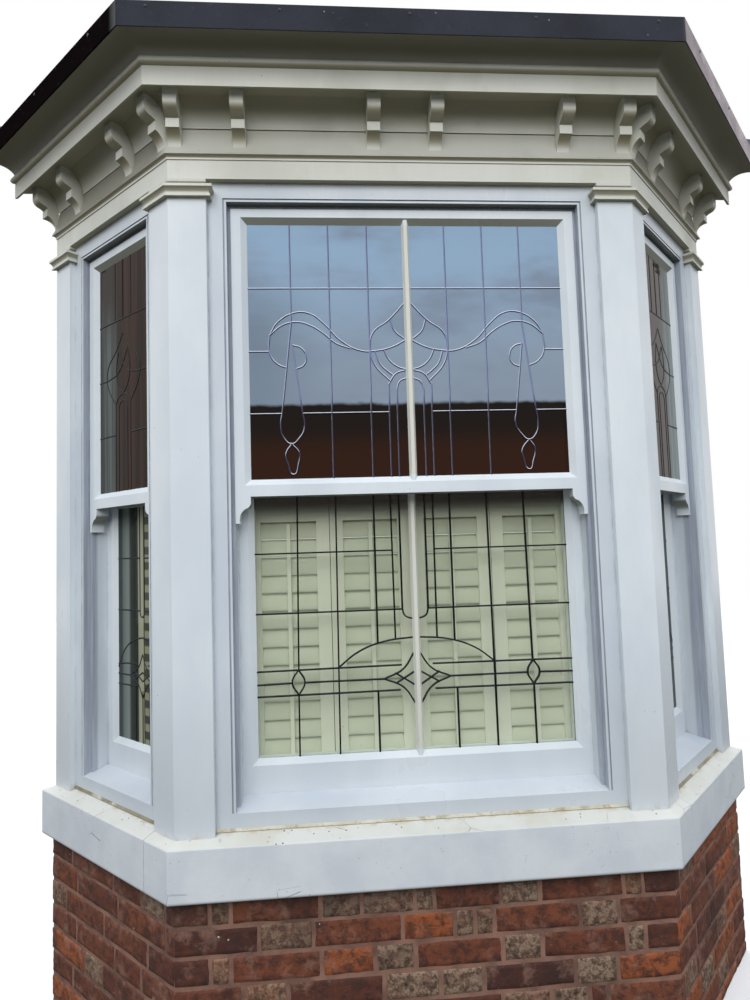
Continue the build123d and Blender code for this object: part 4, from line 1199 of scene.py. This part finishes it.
def build_shutter_hinges():
    """Long hinges on the room side, closing the gaps between the folding leaves."""
    shape = bmesh.new()
    low, high = SHUTTER_SPAN
    depth = SHUTTER_BACK + HINGE_CLEARANCE + HINGE_THICKNESS / 2
    size = Matrix.Diagonal((HINGE_WIDTH, HINGE_THICKNESS, high - low, 1))
    for across in (-HINGE_SPACING, 0, HINGE_SPACING):
        middle = Matrix.Translation((across, depth, (low + high) / 2))
        bmesh.ops.create_cube(shape, size=1, matrix=face_matrix(0) @ middle @ size)
    add_piece("shutter_hinges", shape, screw_metal())


FRAME_SET_BACK = 22 * MM
CAULK_WIDTH = 9 * MM
FRONT_FRAME_HALF = 610 * MM
CANTED_FRAME_HALF = 268 * MM


def build_caulk():
    """A fillet of filler along the foot of each box frame, between the posts."""
    shape = bmesh.new()
    on_edge = Matrix.Rotation(math.radians(45), 4, "X")
    for side, half in ((0, FRONT_FRAME_HALF), (-1, CANTED_FRAME_HALF), (1, CANTED_FRAME_HALF)):
        size = Matrix.Diagonal((2 * half, CAULK_WIDTH, CAULK_WIDTH, 1))
        place = face_matrix(side) @ Matrix.Translation((0, FRAME_SET_BACK, 0))
        bmesh.ops.create_cube(shape, size=1, matrix=place @ on_edge @ size)
    add_piece("foot_caulk", shape, painted_caulk())


# The camera, solved from the bay's own corners and levels: lens and sensor in millimetres,
# where the eye stands, and the degrees by which it turns, tilts up and leans.
SENSOR_WIDTH = 36
LENS = 23.75
EYE = (-0.2781, -2.1218, 1.5607)
EYE_TURN, EYE_TILT, EYE_LEAN = -4.423, 4.026, -1.831


def place_camera():
    """Eye height, a little to the left of the middle, tilted up and leaning slightly."""
    camera = bpy.data.cameras.new("front_view")
    camera.sensor_width = SENSOR_WIDTH
    camera.lens = LENS
    holder = add_object("front_view", camera)
    turn = Matrix.Rotation(math.radians(EYE_TURN), 4, "Z")
    tilt = Matrix.Rotation(math.radians(90 + EYE_TILT), 4, "X")
    lean = Matrix.Rotation(math.radians(EYE_LEAN), 4, "Z")
    holder.matrix_world = Matrix.Translation(EYE) @ turn @ tilt @ lean
    bpy.context.scene.camera = holder


# Linear light from an overcast sky overhead, and what little comes from low down. The sky is at
# its full strength from SKY_FULL_AT up, where 0 is level with the eye and 1 straight overhead.
SKY_LIGHT = (1.38, 1.45, 1.55)
LOW_LIGHT = (0.05, 0.05, 0.045)
SKY_FULL_AT = 0.7
BACKDROP_WHITE = (1, 1, 1)
FLOOR_PALE = (0.9, 0.9, 0.9)
FLOOR_HALF = 14


def overcast_sky():
    """Light that grows towards the top of the sky, while the eye and the panes see plain white."""
    world = bpy.data.worlds.new("overcast")
    world.use_nodes = True
    bpy.context.scene.world = world
    sky = Nodes(world.node_tree)
    ray = sky.node("ShaderNodeLightPath").outputs
    seen = sky.maths("MAXIMUM", ray["Is Camera Ray"], ray["Is Glossy Ray"])
    seen = sky.maths("MAXIMUM", seen, ray["Is Transmission Ray"])
    way = sky.node("ShaderNodeTexCoord").outputs["Generated"]
    rise = sky.between(sky.axis(way, "Z"), 0.0, SKY_FULL_AT)
    dome = sky.mix(rise, LOW_LIGHT, SKY_LIGHT)
    background = sky.tree.nodes["Background"]
    sky.feed(background.inputs["Color"], sky.mix(seen, dome, BACKDROP_WHITE))
    sky.feed(background.inputs["Strength"], 1.0)


def softbox(name, place, aim, size, watts, tint):
    """A large soft lamp at a place, turned to shine at a point, that nothing mirrors."""
    lamp = bpy.data.lights.new(name, "AREA")
    lamp.shape = "RECTANGLE"
    lamp.size, lamp.size_y = size
    lamp.energy = watts
    lamp.color = tint
    holder = add_object(name, lamp)
    holder.location = place
    holder.visible_glossy = False
    way = Vector(aim) - holder.location
    holder.rotation_euler = way.to_track_quat("-Z", "Y").to_euler()


def pale_floor():
    """Pale to the camera and dark to everything else, so that it throws hardly any light up."""
    shape = bmesh.new()
    bmesh.ops.create_grid(shape, x_segments=1, y_segments=1, size=FLOOR_HALF)
    mesh = to_mesh("floor", shape)
    floor = add_object("floor", mesh)
    pale = Finish("pale_floor", 0.9)
    seen = pale.node("ShaderNodeLightPath").outputs["Is Camera Ray"]
    pale.colour(pale.mix(seen, LOW_LIGHT, FLOOR_PALE))
    mesh.materials.append(pale.material)


def light_scene():
    """Soft daylight from above and in front, over a pale floor."""
    overcast_sky()
    softbox(
        "front_softbox",
        place=(-1.3, -5.5, 5.0),
        aim=(0, 0, 1.8),
        size=(6, 4),
        watts=186,
        tint=(1.0, 0.99, 0.97),
    )
    softbox(
        "right_softbox",
        place=(4.2, -3.2, 3.2),
        aim=(0.8, 0, 1.6),
        size=(3, 3),
        watts=14,
        tint=(1, 1, 1),
    )
    pale_floor()


bpy.context.scene.view_settings.view_transform = "Standard"
place_camera()
light_scene()
dress_nodes()
build_brickwork()
build_leaded_lights()
build_trim_screws()
build_shutter_hinges()
build_caulk()
